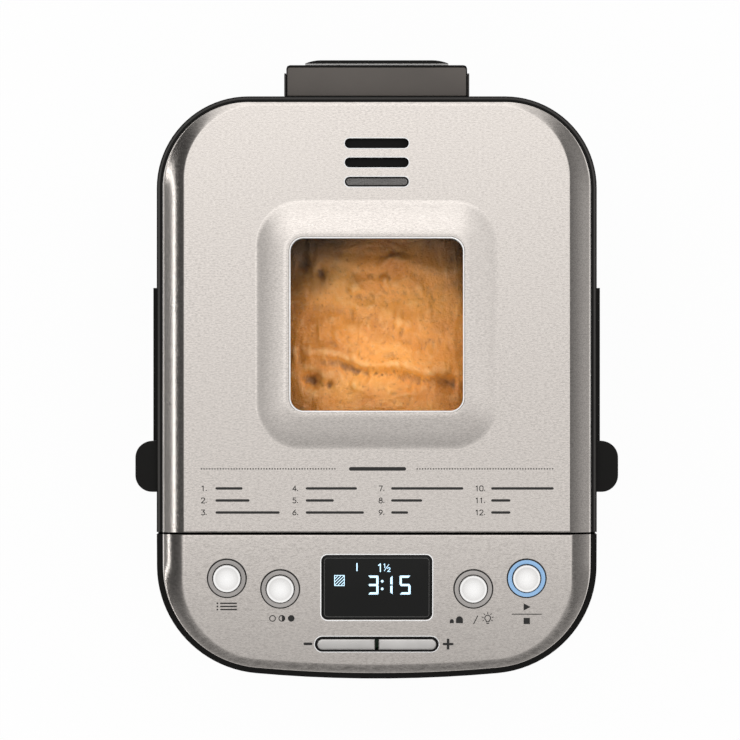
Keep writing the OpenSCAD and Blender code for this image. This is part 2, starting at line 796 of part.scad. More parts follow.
module motor() {
    color("#8c8f92") translate([0, motor_y, motor_z]) difference() {
        union() {
            cylinder(r = motor_r, h = motor_h);
            cylinder(r = 12, h = motor_h + 6);
        }
        translate([0, 0, -over]) cylinder(r = 3 + running, h = 12);
    }
}

module motor_bracket() {
    color("#b5b3ae") translate([0, motor_y, 0]) difference() {
        union() {
            block([-motor_r - 10, -26, chassis_z + chassis_t], [motor_r + 10, 26, chassis_z + chassis_t + 2]);
            block([-motor_r + 8, -20, chassis_z + chassis_t], [motor_r - 8, 20, motor_z]);
        }
        translate([0, 0, chassis_z]) cylinder(r = small_pulley_r + 4, h = 20);
        for (x = [-1, 1], y = [-1, 1]) translate([x * (motor_r + 3), y * 20, chassis_z]) cylinder(r = 1.6, h = 10);
    }
}

module motor_screws() {
    color("silver") for (x = [-1, 1], y = [-1, 1])
        translate([x * (motor_r + 3), motor_y + y * 20, chassis_z + chassis_t + 2]) screw(3, 1.5, 7);
}

// ---------- bread pan ----------

bail_y = 85;                       // the bail's reach from its pivots
bail_z = pan_top + 4;
stub_z = chamber_z + sheet_t;      // the pan's collar stands on the chamber floor
collar_r = 26;
shaft_low = chamber_z + 7.2;       // just above the dog's plate
shaft_rise = 22;
shaft_top = pan_z + shaft_rise;

module bread_pan() {
    color("#4b4a48") difference() {
        union() {
            slab(pan_z, pan_top) translate([0, pan_y]) rounded(pan_w, pan_d, pan_r);
            slab(pan_top - 2, pan_top) translate([0, pan_y]) rounded(pan_w + 2 * pan_lip, pan_d + 2 * pan_lip, pan_r + pan_lip);
            translate([0, pan_y, stub_z]) cylinder(r = collar_r, h = pan_z - stub_z + 0.1);
            for (s = [-1, 1]) translate([s * (pan_w / 2 + pan_lip - 1.5), pan_y, pan_top - 0.01]) rotate([90, 0, 90])
                linear_extrude(3, center = true) union() {
                    translate([-6, 0]) square([12, 4]);
                    translate([0, 4]) circle(6);
                }
        }
        slab(pan_z + pan_t, pan_top + over) translate([0, pan_y])
            rounded(pan_w - 2 * pan_t, pan_d - 2 * pan_t, pan_r - pan_t);
        translate([0, pan_y, stub_z - over]) cylinder(r = collar_r - pan_t, h = pan_z - stub_z - 2 + over);
        translate([0, pan_y, pan_z - 3]) cylinder(r = 9, h = 10);
        for (s = [-1, 1]) translate([s * (pan_w / 2 + pan_lip - 1.5), pan_y, bail_z]) rotate([0, 90, 0])
            cylinder(r = bail_r + running, h = 10, center = true);
    }
}

// Wire bail, folded down along the pan's rim
module pan_bail() {
    arm_x = pan_w / 2 + pan_lip + bail_r + 0.6;
    bend = 10;
    color("#8f8f8d") translate([0, pan_y, bail_z]) for (s = [0, 1]) mirror([s, 0, 0]) {
        translate([arm_x - 7, 0, 0]) rotate([0, 90, 0]) cylinder(r = bail_r, h = 7);
        translate([arm_x, 0, 0]) sphere(bail_r);
        translate([arm_x, 0, 0]) rotate([90, 0, 0]) cylinder(r = bail_r, h = bail_y - bend);
        translate([arm_x - bend, -bail_y + bend, 0]) rotate(270) rotate_extrude(angle = 90) translate([bend, 0]) circle(bail_r);
        translate([-0.01, -bail_y, 0]) rotate([0, 90, 0]) cylinder(r = bail_r, h = arm_x - bend + 0.02);
    }
}

module pan_bush() {
    color("#c9a45c") translate([0, pan_y, pan_z - 3]) difference() {
        union() {
            cylinder(r = 9, h = 3 + pan_t);
            translate([0, 0, -3]) cylinder(r = 13, h = 3);
            translate([0, 0, 3 + pan_t]) cylinder(r = 11, h = 2);
        }
        translate([0, 0, -5]) cylinder(r = shaft_r + running, h = 20);
    }
}

module paddle_shaft() {
    color("#c8c8c8") translate([0, pan_y, shaft_low]) cylinder(r = shaft_r, h = shaft_top - shaft_low);
}

coupler_z = dog_z + dog_plate + 0.4;

// Two-armed coupler between the drive dog's pegs
module pan_coupler() {
    color("#8d8f91") translate([0, pan_y, coupler_z]) {
        difference() {
            cylinder(r = 6, h = dog_h - 2.5);
            translate([0, 0, shaft_low - coupler_z]) cylinder(r = shaft_r, h = 10);
        }
        for (a = [90, 270]) rotate(a) translate([4, -2, 0]) cube([6.6, 4, dog_h - 3.2]);
    }
}

paddle_z = pan_z + pan_t + 2.8;
paddle_h = 30;

module kneading_paddle() {
    color("#3f3d3b") translate([0, pan_y, paddle_z]) {
        difference() {
            cylinder(r = 10, h = 22);
            translate([0, 0, -over]) cylinder(r = shaft_r, h = shaft_top + fit + over - paddle_z);
        }
        translate([8, 2, 0.3]) rotate([90, 0, 0]) linear_extrude(4)
            polygon([[0, 0], [paddle_l - 8, 0], [paddle_l - 10, 12], [paddle_l - 26, paddle_h], [8, 24], [0, 20]]);
    }
}

// Crown of the dough: distance in from the pan's wall, share of the fall from its middle to that wall
dough_fall = 13;
dough_crown = [[0, 1], [2, 0.7], [8, 0.42], [20, 0.18], [38, 0.05], [56, 0]];
paddle_room = 3;                   // round the turning paddle

function dough_ring(in) =
    let (wall = pan_t + fit + in, x = pan_w / 2 - wall, y = pan_d / 2 - wall, r = max(pan_r - wall, 5))
    concat(arc([x - r, y - r], r, 0, 90, 6), arc([r - x, y - r], r, 90, 180, 6),
           arc([r - x, r - y], r, 180, 270, 6), arc([x - r, r - y], r, 270, 360, 6));

// Risen dough, standing in the pan round the paddle
module dough() {
    color("#d9a066") translate([0, pan_y, 0]) difference() {
        loft(concat([[for (p = dough_ring(0)) [p.x, p.y, pan_z + pan_t]]],
                    [for (q = dough_crown) [for (p = dough_ring(q[0]))
                        [p.x, p.y, pan_z + dough_h - q[1] * dough_fall]]]));
        slab(pan_z, paddle_z + paddle_h + paddle_room) circle(paddle_l + paddle_room);
    }
}

// ---------- lid ----------

mesh_t = 1.2;
slot_mid = rear_y - slot_back - (slot_n - 1) * slot_pitch / 2;
liner_w = chamber_w - 8;
liner_d = chamber_d - 8;
liner_low = lid_z - 6;
pane_w = window_w + 10;
lid_screw_places = [for (x = [-1, 1], y = [split_y + 14, rear_y - 22]) [x * (half_w - 40), y]];

module slots(w, l, z0, z1) {
    slab(z0, z1) for (i = [0:slot_n - 1]) translate([0, rear_y - slot_back - i * slot_pitch]) stadium(l, w);
}

tab_r = 10;                        // outer corners of a lift tab

module lift_tabs() {
    y = split_y + lid_gap / 2 + tab_back;
    color("#1a1816") for (s = [0, 1]) mirror([s, 0, 0]) intersection() {
        slab(lid_low + 3, rim_z - 4) {
            translate([half_w, y]) square([tab_out - tab_r, tab_l]);
            translate([half_w, y + tab_r]) square([tab_out, tab_l - 2 * tab_r]);
            for (v = [tab_r, tab_l - tab_r]) translate([half_w + tab_out - tab_r, y + v]) circle(tab_r);
        }
        block([half_w, y, lid_low], [half_w + tab_out, y + tab_l, rim_z]);
    }
}

// Black moulded frame of the lid, with the tongue that turns on the hinge pins
module lid_frame() {
    color("#1c1b1a") difference() {
        union() {
            intersection() {
                slab(lid_low, rim_z) outline();
                lid_side(lid_low - over, top_z);
            }
            block([-tongue_w / 2, rear_y - 3, lid_low + 0.5], [tongue_w / 2, rear_y + tongue_out - 3, rim_z - 2]);
            block([-tongue_w / 2, rear_y, lid_low + 3.5], [tongue_w / 2, rear_y + tongue_out, rim_z - 5]);
            translate([0, rear_y + tongue_out - 3, rim_z - 5]) rotate([0, 90, 0]) cylinder(r = 3, h = tongue_w, center = true);
            translate([0, rear_y + tongue_out - 3, lid_low + 3.5]) rotate([0, 90, 0]) cylinder(r = 3, h = tongue_w, center = true);
        }
        intersection() {
            slab(rim_z - ledge_h, top_z) outline(rim_w - fit);
            lid_side(rim_z - ledge_h - over, top_z);
        }
        intersection() {
            slab(lid_low + wall_t, top_z) outline(rim_w + ledge_w);
            block([-body_w, split_y + lid_gap / 2 + ledge_w, lid_low], [body_w, rear_y, top_z]);
        }
        slab(lid_low - over, top_z) translate([0, pan_y]) rounded(liner_w - 16, liner_d - 16, chamber_r);
        for (s = [-1, 1]) translate([s * (tongue_w / 2 - pin_l / 2 + over), axis_y, axis_z]) rotate([0, 90, 0])
            cylinder(r = pin_r + running, h = pin_l + 2 * over, center = true);
        for (p = lid_screw_places) translate([p.x, p.y, lid_low - over]) cylinder(r = 1.6, h = wall_t + 2 * over);
    }
}

module window_mound(in) {
    translate([0, pan_y, 0]) hull() {
        translate([0, 0, top_z - in - over]) linear_extrude(over)
            rounded(mound_foot - 2 * in, mound_foot + mound_extra - 2 * in, 27 - in, $fn = 32);
        translate([0, 0, top_z + mound_h - in - 0.01]) linear_extrude(0.01)
            rounded(mound_top - 2 * in, mound_top - 2 * in, 13 - in, $fn = 32);
    }
}

module lid_cover() {
    color("#d5d1cd") difference() {
        union() {
            lid_crown(0, ledge_h);
            window_mound(0);
        }
        lid_crown(sheet_t, ledge_h + over);
        window_mound(sheet_t);
        slab(top_z - over, top_z + mound_h + over) translate([0, pan_y]) rounded(window_w, window_w, window_r);
        slots(slot_w, slot_l, top_z - 2 * over, top_z + over);
    }
}

glass_z = top_z + mound_h - sheet_t - 1;

module window_gasket() {
    color("#222222") slab(glass_z, glass_z + 0.9) translate([0, pan_y]) difference() {
        rounded(pane_w - 1, pane_w - 1, window_r + 4);
        rounded(window_w + 1, window_w + 1, window_r + 0.5);
    }
}

module window_glass() {
    color([0.6, 0.65, 0.65, 0.4]) slab(glass_z - glass_t, glass_z) translate([0, pan_y])
        rounded(pane_w - 1, pane_w - 1, window_r + 4);
}

// Inner skin of the lid: a shallow tray with a collar that carries both panes
module lid_liner() {
    color("#b9bab8") difference() {
        union() {
            slab(liner_low, lid_low + wall_t + 2) translate([0, pan_y]) rounded(liner_w - 17, liner_d - 17, chamber_r - 0.5);
            slab(lid_low + wall_t, lid_low + wall_t + 2) translate([0, pan_y]) rounded(liner_w - 4, liner_d - 10, chamber_r);
        }
        slab(liner_low + 1.2, top_z) translate([0, pan_y]) difference() {
            rounded(liner_w - 19.4, liner_d - 19.4, chamber_r - 1.7);
            rounded(pane_w + 6, pane_w + 6, window_r + 7);
        }
        slab(liner_low - over, top_z) translate([0, pan_y]) rounded(window_w, window_w, window_r);
        slab(liner_low + 1.6, top_z) translate([0, pan_y]) rounded(pane_w + 0.6, pane_w + 0.6, window_r + 4.3);
        slab(liner_low - over, top_z) translate([0, slot_mid + 4]) for (i = [-3:3]) translate([i * 9, 0]) circle(2);
    }
    color("#b9bab8") slab(liner_low + 1.2, glass_z - glass_t) translate([0, pan_y]) difference() {
        rounded(pane_w + 6, pane_w + 6, window_r + 7);
        rounded(pane_w + 0.6, pane_w + 0.6, window_r + 4.3);
    }
    // lip that the outer pane stands on
    color("#b9bab8") slab(glass_z - glass_t - 1.5, glass_z - glass_t) translate([0, pan_y]) difference() {
        rounded(pane_w + 6, pane_w + 6, window_r + 7);
        rounded(window_w + 2, window_w + 2, window_r + 1);
    }
}

module inner_pane() {
    color([0.6, 0.65, 0.65, 0.4]) slab(liner_low + 1.6, liner_low + 1.6 + glass_t) translate([0, pan_y])
        rounded(pane_w, pane_w, window_r + 4);
}

module lid_seal() {
    color("#8a8a88") slab(lid_z + 0.2, lid_low) translate([0, pan_y]) difference() {
        rounded(chamber_w + 14, chamber_d + 14, chamber_r + 7);
        rounded(chamber_w + 4, chamber_d + 4, chamber_r + 2);
    }
}

module steam_mesh() {
    color("#b0b0ae") difference() {
        slab(top_z - sheet_t - mesh_t, top_z - sheet_t) translate([0, slot_mid])
            square([slot_l + 10, (slot_n - 1) * slot_pitch + slot_w + 8], center = true);
        for (i = [0:slot_n - 2]) translate([0, rear_y - slot_back - i * slot_pitch, 0])
            slab(top_z - 3, top_z) stadium(slot_l, slot_w);
    }
}

module lid_screws() {
    color("silver") for (p = lid_screw_places) translate([p.x, p.y, lid_low + wall_t]) screw(3, 1.4, wall_t);
}

// ---------- hinge ----------

housing_low = deck_z - 30;
inner_bulge = tongue_w / 2 - 10;
ear_out = 13.2;
ear_r = tongue_out / 2 - fit;      // above the axis the ears stay inside the lid's swing

// Half of the rear wall's plan: distance from the middle, distance in from the rearmost face
bulge = [[inner_bulge, rear_out - 1], [inner_bulge, 3.6], [inner_bulge - 3.5, 1.2], [inner_bulge - 10.5, 0]];

// Housing behind the body: floor, bowed rear wall and two ears that hold the hinge pins
module hinge_bracket() {
    inner = tongue_w / 2 + fit;
    floor_z = axis_z - swing_r - 0.5;
    color("#23211f") difference() {
        union() {
            block([-inner - ear_t, rear_y + 0.05, housing_low], [inner + ear_t, rear_y + ear_out, floor_z]);
            slab(housing_low, floor_z) polygon([for (s = [-1, 1], p = s < 0 ? bulge : [for (i = [3:-1:0]) bulge[i]])
                [s * p.x, rear_y + rear_out - p.y]]);
            for (s = [-1, 1]) translate([s * (inner + ear_t / 2), 0, 0]) intersection() {
                block([-ear_t / 2, rear_y + 0.05, floor_z - 1], [ear_t / 2, rear_y + ear_out, axis_z + ear_r]);
                union() {
                    block([-ear_t, rear_y, floor_z - 2], [ear_t, rear_y + rear_out, axis_z]);
                    translate([0, axis_y, axis_z]) rotate([0, 90, 0]) cylinder(r = ear_r, h = 2 * ear_t, center = true);
                }
            }
        }
        for (s = [-1, 1]) translate([s * (inner + ear_t / 2), axis_y, axis_z]) rotate([0, 90, 0])
            cylinder(r = pin_r, h = 2 * ear_t + over, center = true);
    }
}

module hinge_pins() {
    inner = tongue_w / 2 + fit;
    color("#c8c8c8") for (s = [0, 1]) mirror([s, 0, 0]) translate([inner + ear_t, axis_y, axis_z]) rotate([0, -90, 0])
        cylinder(r = pin_r, h = pin_l);
}

base_tray();
rubber_feet();
base_screws();
side_panels();
front_panel();
rear_panel();
carry_handles();
deck();
deck_screws();
control_fascia();
display_lens();
display_module();
control_board();
key_switches();
button_rings();
start_ring();
menu_button();
shade_button();
size_button();
start_button();
key_bezel();
minus_key();
plus_key();
power_board();
chassis_plate();
chamber_liner();
heater_element();
heater_clips();
temperature_sensor();
thermal_fuse();
chamber_lamp();
lamp_lens();
drive_bearing();
drive_shaft();
large_pulley();
drive_dog();
drive_belt();
motor();
motor_bracket();
motor_screws();
motor_shaft();
motor_pulley();
start_capacitor();
cord_gland();
hinge_bracket();
hinge_pins();
bread_pan();
pan_bail();
pan_bush();
paddle_shaft();
pan_coupler();
kneading_paddle();
lid_frame();
lift_tabs();
lid_cover();
lid_liner();
lid_seal();
window_glass();
window_gasket();
inner_pane();
steam_mesh();
lid_screws();
dough();
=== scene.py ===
"""Looks of the bread machine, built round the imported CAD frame. Metres; +Z up, +Y to the rear."""

import math
from functools import partial

import bmesh
import bpy
from mathutils import Matrix, Vector, noise


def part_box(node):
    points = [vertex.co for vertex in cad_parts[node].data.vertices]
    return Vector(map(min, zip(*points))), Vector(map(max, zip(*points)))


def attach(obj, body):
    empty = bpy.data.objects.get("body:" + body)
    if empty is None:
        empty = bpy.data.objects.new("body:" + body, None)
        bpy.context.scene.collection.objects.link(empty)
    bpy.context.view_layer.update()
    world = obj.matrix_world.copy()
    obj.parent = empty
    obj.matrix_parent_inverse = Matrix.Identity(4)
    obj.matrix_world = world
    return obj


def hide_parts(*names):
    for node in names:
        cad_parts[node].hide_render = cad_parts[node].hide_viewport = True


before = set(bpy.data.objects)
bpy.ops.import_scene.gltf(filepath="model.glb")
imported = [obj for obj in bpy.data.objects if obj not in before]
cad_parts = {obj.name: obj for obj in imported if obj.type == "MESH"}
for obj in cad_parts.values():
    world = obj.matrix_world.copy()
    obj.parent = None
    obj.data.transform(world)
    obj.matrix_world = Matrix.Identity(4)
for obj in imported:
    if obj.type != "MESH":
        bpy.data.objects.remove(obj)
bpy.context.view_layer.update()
MM = 0.001

# ---------- sizes: taken from the frame where a node gives them, else real sizes ----------

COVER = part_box("lid_cover")
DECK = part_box("deck")
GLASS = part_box("window_glass")

RIM_W = 4 * MM                       # black rim outside the steel
HALF_W = (DECK[1][0] - DECK[0][0]) / 2
FRONT_Y = DECK[0][1]
REAR_Y = DECK[1][1]
HALF_GAP = 0.6 * MM                  # half of the gap between lid and panel
SPLIT_Y = COVER[0][1] - HALF_GAP     # middle of that gap
REAR_R = 55 * MM
FRONT_R = 65 * MM
BOW_R = 806 * MM                     # radius of the bowed front edge
MOUND_H = 4 * MM                     # raised frame round the window
TOP_Z = COVER[1][2] - MOUND_H
SHOULDER_H = 11 * MM
SIDE_SHOULDER = 13 * MM              # width of the shoulders at the sides
LID_END = 2 * MM                     # width of the lid's shoulder at the rear
PANEL_END = 5.5 * MM                 # width of the panel's shoulder at the front
END_SOFT = 0.35                      # how much gentler those two are
CORNER_TURN = 0.75                   # how fast the panel's front corners tighten towards the fold
SKIRT = 5 * MM
SHEET = 0.8 * MM
TILT = math.radians(7)               # slope of the panel
WINDOW_W = 104.4 * MM
WINDOW_R = 8.5 * MM
WINDOW_Y = (GLASS[0][1] + GLASS[1][1]) / 2
SLOT_L, SLOT_W, SLOT_PITCH = 38 * MM, 5.6 * MM, 11.5 * MM
SLOT_Y = REAR_Y - 28.6 * MM          # the slot nearest the rear
# x and distance below the panel's rear edge, in millimetres
BUTTONS = [(-89.7, 27.0), (-57.8, 33.4), (57.8, 33.4), (89.7, 27.0)]
BUTTON_NODES = ["menu_button", "shade_button", "size_button", "start_button"]
RING_R, CAP_R = 12 * MM, 8.2 * MM
DISPLAY = (66 * MM, 39 * MM, 32.6 * MM)     # width, depth, distance below the panel's rear edge
DISPLAY_R = 3.6 * MM
KEYS = (73.5 * MM, 8.4 * MM, 67 * MM)       # the same of the key bezel

# The panel's own plane: origin at the middle of its rear edge, +Z out of the panel
PANEL_FRAME = Matrix.Translation((0, SPLIT_Y, TOP_Z)) @ Matrix.Rotation(TILT, 4, "X")
LEVEL = Matrix.Identity(4)


# ---------- materials ----------


def shade(colour, factor):
    return tuple(min(1, c * factor) for c in colour)


class Graph:
    """Short calls for the shader nodes that the materials and the world share."""

    def __init__(self, tree):
        self.tree = tree

    def feed(self, socket, value):
        """Links an output to the socket, or writes the value there."""
        if isinstance(value, bpy.types.NodeSocket):
            self.tree.links.new(value, socket)
        else:
            socket.default_value = (*value, 1) if socket.type == "RGBA" else value

    def add(self, kind, inputs=None, **settings):
        node = self.tree.nodes.new("ShaderNode" + kind)
        for key, value in settings.items():
            setattr(node, key, value)
        for key, value in (inputs or {}).items():
            self.feed(node.inputs[key], value)
        return node

    def math(self, operation, *values):
        return self.add("Math", dict(enumerate(values)), operation=operation).outputs[0]

    def vector(self, operation, *values, output="Vector"):
        return self.add("VectorMath", dict(enumerate(values)), operation=operation).outputs[output]

    def axes(self, source):
        return self.add("SeparateXYZ", {0: source}).outputs

    def ramp(self, source, stops):
        """Colours, or plain brightnesses, at their places along the source."""
        node = self.add("ValToRGB", {"Fac": source})
        elements = node.color_ramp.elements
        while len(elements) < len(stops):
            elements.new(0.5)
        for element, (place, colour) in zip(elements, stops):
            element.position = place
            element.color = (*(colour if isinstance(colour, tuple) else (colour,) * 3), 1)
        return node.outputs["Color"]

    def span(self, source, low, high, from_low=0.3, from_high=0.7, kind="LINEAR"):
        """Maps the source's range onto low to high."""
        ends = {"From Min": from_low, "From Max": from_high, "To Min": low, "To Max": high}
        return self.add("MapRange", {"Value": source, **ends}, interpolation_type=kind).outputs["Result"]

    def mix(self, fac, a, b):
        return self.add("Mix", {0: fac, 6: a, 7: b}, data_type="RGBA").outputs[2]


class Nodes(Graph):
    """A node material and its main shader."""

    def __init__(self, name):
        self.material = bpy.data.materials.new(name)
        self.material.use_nodes = True
        super().__init__(self.material.node_tree)
        self.shader = self.tree.nodes["Principled BSDF"]

    def coords(self, scale=(1, 1, 1)):
        place = self.add("TexCoord").outputs["Object"]
        return self.add("Mapping", {"Scale": scale, "Vector": place}).outputs["Vector"]

    def noise(self, scale, detail=4, roughness=0.6, stretch=(1, 1, 1)):
        return self.add("TexNoise", {"Scale": scale, "Detail": detail, "Roughness": roughness,
                                     "Vector": self.coords(stretch)}).outputs["Fac"]

    def bump(self, height, strength, distance, after=None):
        inputs = {"Strength": strength, "Distance": distance, "Height": height}
        if after is not None:
            inputs["Normal"] = after
        return self.add("Bump", inputs).outputs["Normal"]

    def bow(self, middle, curvature):
        """Height in metres of a shallow dome along Y."""
        offset = self.math("SUBTRACT", self.axes(self.coords())["Y"], middle)
        return self.math("MULTIPLY", self.math("MULTIPLY", offset, offset), -curvature / 2)

    def bevel(self, radius):
        return self.add("Bevel", {"Radius": radius}, samples=4).outputs["Normal"]

    def set(self, **values):
        for key, value in values.items():
            self.feed(self.shader.inputs[key.replace("_", " ")], value)
        return self.material


def brushed(name, light, dark, across=(0, 1, 0), roughness=0.2, bow=None):
    """Brushed stainless steel: short fine scratches along X over a denser grain, cloudy over the sheet.
    Reflections spread along `across`. A bow of (middle in Y, curvature) lets a sheet catch the light as a
    slightly domed pressing does."""
    n = Nodes(name)
    hairs = n.noise(1.0, 5, 0.7, (560.0, 1500.0, 1500.0))
    strands = n.noise(1.0, 4, 0.65, (230.0, 820.0, 820.0))
    cloud = n.noise(14.0, 3, 0.55)
    tone = n.mix(n.span(hairs, 0, 1, 0.41, 0.59), dark, light)
    tone = n.mix(n.span(strands, 0, 0.55, 0.40, 0.66), tone, light)
    tone = n.mix(n.span(cloud, 0, 0.25), tone, shade(light, 0.93))
    rough = n.span(strands, roughness - 0.04, roughness + 0.05)
    normal = n.bump(strands, 0.18, 0.00008, n.bump(hairs, 0.25, 0.00005))
    if bow:
        normal = n.bump(n.bow(*bow), 1.0, 1.0, normal)
    tangent = n.add("VectorTransform", {0: across}, vector_type="VECTOR", convert_from="OBJECT",
                    convert_to="WORLD").outputs[0]
    return n.set(Metallic=1.0, Base_Color=tone, Roughness=rough, Normal=normal,
                 Anisotropic=0.85, Tangent=tangent)


def moulded(name, colour, roughness=0.42, grain=1400.0, depth=0.00004, edge=0.5 * MM, gloss=0.5):
    """Moulded plastic or rubber: spark-eroded grain, a slight unevenness of gloss, softened edges."""
    n = Nodes(name)
    pits = n.noise(grain, 3, 0.6)
    patches = n.noise(22.0, 3, 0.5)
    return n.set(Base_Color=n.mix(n.span(patches, 0, 1), shade(colour, 0.88), shade(colour, 1.12)),
                 Roughness=n.span(pits, roughness - 0.06, roughness + 0.08),
                 Normal=n.bump(pits, 0.25, depth, n.bevel(edge)), Specular_IOR_Level=gloss)


def metal(name, colour, roughness=0.35, grain=500.0, stretch=(1, 1, 1)):
    """Plain sheet, turned or drawn metal with a faint grain, dull patches and softened edges."""
    n = Nodes(name)
    marks = n.noise(grain, 4, 0.65, stretch)
    patches = n.noise(30.0, 3, 0.6)
    return n.set(Metallic=1.0, Base_Color=n.mix(n.span(patches, 0, 1), shade(colour, 0.8), colour),
                 Roughness=n.span(marks, roughness - 0.08, roughness + 0.1),
                 Normal=n.bump(marks, 0.2, 0.00003, n.bevel(0.3 * MM)))


def dished_cap(name, rim, middle):
    """Glossy button cap, paler where its dish faces straight out of the panel, greyer as painted shade where its
    surface turns away.
    """
    n = Nodes(name)
    normal = n.add("NewGeometry").outputs["Normal"]
    facing = n.vector("DOT_PRODUCT", normal, (0, -math.sin(TILT), math.cos(TILT)), output="Value")
    mottle = n.noise(700.0, 2, 0.5)
    halfway = tuple((a + b) / 2 for a, b in zip(rim, middle))
    # Painted shade: the rim colour where the surface turns away from the panel, the middle colour where it faces
    # straight out
    tone = n.ramp(n.span(facing, 0, 1, 0.972, 1.0), [(0.0, rim), (0.5, halfway), (1.0, middle)])
    tone = n.mix(n.span(mottle, 0, 0.1), tone, shade(middle, 0.96))
    return n.set(Base_Color=tone, Roughness=n.span(mottle, 0.24, 0.32), Coat_Weight=0.4)


def window_glass(name):
    """Clear pane that light passes through, a trace of smear in its gloss."""
    n = Nodes(name)
    smear = n.noise(35.0, 3, 0.5, (1, 2.2, 1))
    return n.set(Base_Color=n.mix(n.span(smear, 0, 1), (0.020, 0.024, 0.024), (0.032, 0.036, 0.036)),
                 Roughness=n.span(smear, 0.02, 0.06), Alpha=0.05, IOR=1.5)


def bread_dough(name):
    """Soft tan dough: floury top, browner folds and edges, small pits and bubbles; painted shade darkens its
    pits, hollows and in part its edges, painted highlight lightens its bumps.
    """
    n = Nodes(name)
    folds = n.noise(38.0, 5, 0.6)
    flour = n.noise(210.0, 5, 0.72)
    blotch = n.noise(17.0, 3, 0.55)
    pits = n.noise(520.0, 3, 0.6)
    hollow = n.add("NewGeometry").outputs["Pointiness"]
    # Darker towards the pan's wall, by a wavy distance from the middle of the crown: partly browner crust,
    # partly painted shade
    reach = n.vector("LENGTH", n.vector("SUBTRACT", n.coords(), (0.004, 0.010, 0.215)), output="Value")
    wavy = n.math("MULTIPLY_ADD", folds, 0.030, reach)
    base = n.ramp(blotch, [(0.30, (0.66, 0.225, 0.022)), (0.46, (0.86, 0.33, 0.045)),
                           (0.62, (0.94, 0.43, 0.09))])
    # Painted shade where the pits sink and in hollows, painted highlight on bumps, from Pointiness
    for fac, colour in ((n.span(folds, 0.4, 0.0, 0.36, 0.56), (0.50, 0.165, 0.022)),
                        (n.span(flour, 0, 0.45, 0.5, 0.72), (0.98, 0.60, 0.25)),
                        (n.span(pits, 0.6, 0.0, 0.28, 0.42), (0.26, 0.10, 0.025)),
                        (n.span(hollow, 0.85, 0.0, 0.44, 0.492), (0.16, 0.06, 0.015)),
                        (n.span(hollow, 0.0, 0.6, 0.508, 0.56), (1.0, 0.62, 0.27)),
                        (n.span(wavy, 0.0, 0.9, 0.070, 0.094), (0.075, 0.040, 0.016))):
        base = n.mix(fac, base, colour)
    return n.set(Base_Color=base, Roughness=n.span(flour, 0.36, 0.58),
                 Normal=n.bump(pits, 0.6, 0.0006, n.bump(flour, 0.7, 0.0010)),
                 Subsurface_Weight=0.08, Subsurface_Scale=0.003)


def ink(name, colour, roughness=0.55):
    """Screen-printed ink: a slightly uneven film."""
    n = Nodes(name)
    film = n.noise(900.0, 2, 0.5)
    return n.set(Base_Color=n.mix(n.span(film, 0, 1), shade(colour, 0.85), shade(colour, 1.15)),
                 Roughness=n.span(film, roughness - 0.08, roughness + 0.08))


def glow(name, colour, strength):
    """Lit display segments, a little uneven as a real backlight is."""
    n = Nodes(name)
    tone = n.mix(n.span(n.noise(260.0, 2, 0.5), 0, 1), shade(colour, 0.9), colour)
    return n.set(Base_Color=tone, Emission_Color=tone, Emission_Strength=strength, Roughness=0.5)


STEEL_LID = brushed("steel_lid", (0.92, 0.856, 0.802), (0.655, 0.607, 0.569), bow=(0.033, 0.40))
# A little darker than the lid's steel: painted shade on the sloping panel
STEEL_PANEL = brushed("steel_panel", (0.88, 0.818, 0.766), (0.61, 0.565, 0.529), bow=(-0.139, 2.56))
BLACK = moulded("black_plastic", (0.0060, 0.0054, 0.0048), 0.34, gloss=0.13)
# Lighter than the black plastic: painted highlight on the rim's crest and the hinge lips
RIM_PAINTED_HIGHLIGHT = moulded("rim_plastic", (0.026, 0.0228, 0.0202), 0.32)
# Greyer than the black plastic: painted reflection on the hinge tongue and its bracket
TONGUE = moulded("hinge_plastic", (0.086, 0.073, 0.063), 0.34, 900.0)
# Pale: painted light where the gap in front of the hinge housing shows bright
SEAM_PAINTED_LIGHT = moulded("seam_pale", (0.40, 0.39, 0.38), 0.4)
# Pale plastics on the steel's rolled and cut edges: painted highlight
FOOT_PAINTED_HIGHLIGHT = moulded("foot_edge", (0.70, 0.675, 0.65), 0.3, 900.0, 0.00001, 0.1 * MM)
EDGE_PAINTED_HIGHLIGHT = moulded("bright_edge", (0.94, 0.93, 0.92), 0.25, 900.0, 0.00001, 0.1 * MM)
LENS_BLACK = moulded("display_black", (0.006, 0.006, 0.0056), 0.10, 300.0, 0.000004, 0.6 * MM, 0.24)
# Grey beside the black lens: painted highlight on the step inside the display's edge
STEP_PAINTED_HIGHLIGHT = moulded("display_step_grey", (0.085, 0.083, 0.08), 0.3)
RING_GREY = moulded("ring_grey", (0.36, 0.338, 0.322), 0.36, 1100.0, 0.00002, 0.2 * MM)
RING_BLUE = moulded("ring_blue", (0.26, 0.45, 0.70), 0.34, 1100.0, 0.00002, 0.2 * MM)
# Near black: painted shade in the gap round each ring and in the well round its cap
RING_PAINTED_SHADE = moulded("ring_edge", (0.020, 0.019, 0.018), 0.4, gloss=0.2)
# The caps' first colour is painted shade at their edges
CAP_WHITE = dished_cap("button_white", (0.62, 0.605, 0.59), (0.93, 0.92, 0.91))
KEY_DARK = moulded("key_bezel_dark", (0.008, 0.0074, 0.007), 0.4, gloss=0.15)
KEY_SILVER = metal("key_silver", (0.90, 0.875, 0.85), 0.34, 400.0, (0.1, 1, 1))
GRILLE_BACK = metal("grille_back", (0.42, 0.40, 0.385), 0.5, 900.0)
MESH_GREY = metal("steam_mesh", (0.50, 0.485, 0.475), 0.45, 300.0)
DOUGH = bread_dough("dough")
INK = ink("printed_ink", (0.016, 0.0145, 0.0135))
LCD_LIGHT = glow("display_light", (0.50, 0.72, 0.86), 1.0)

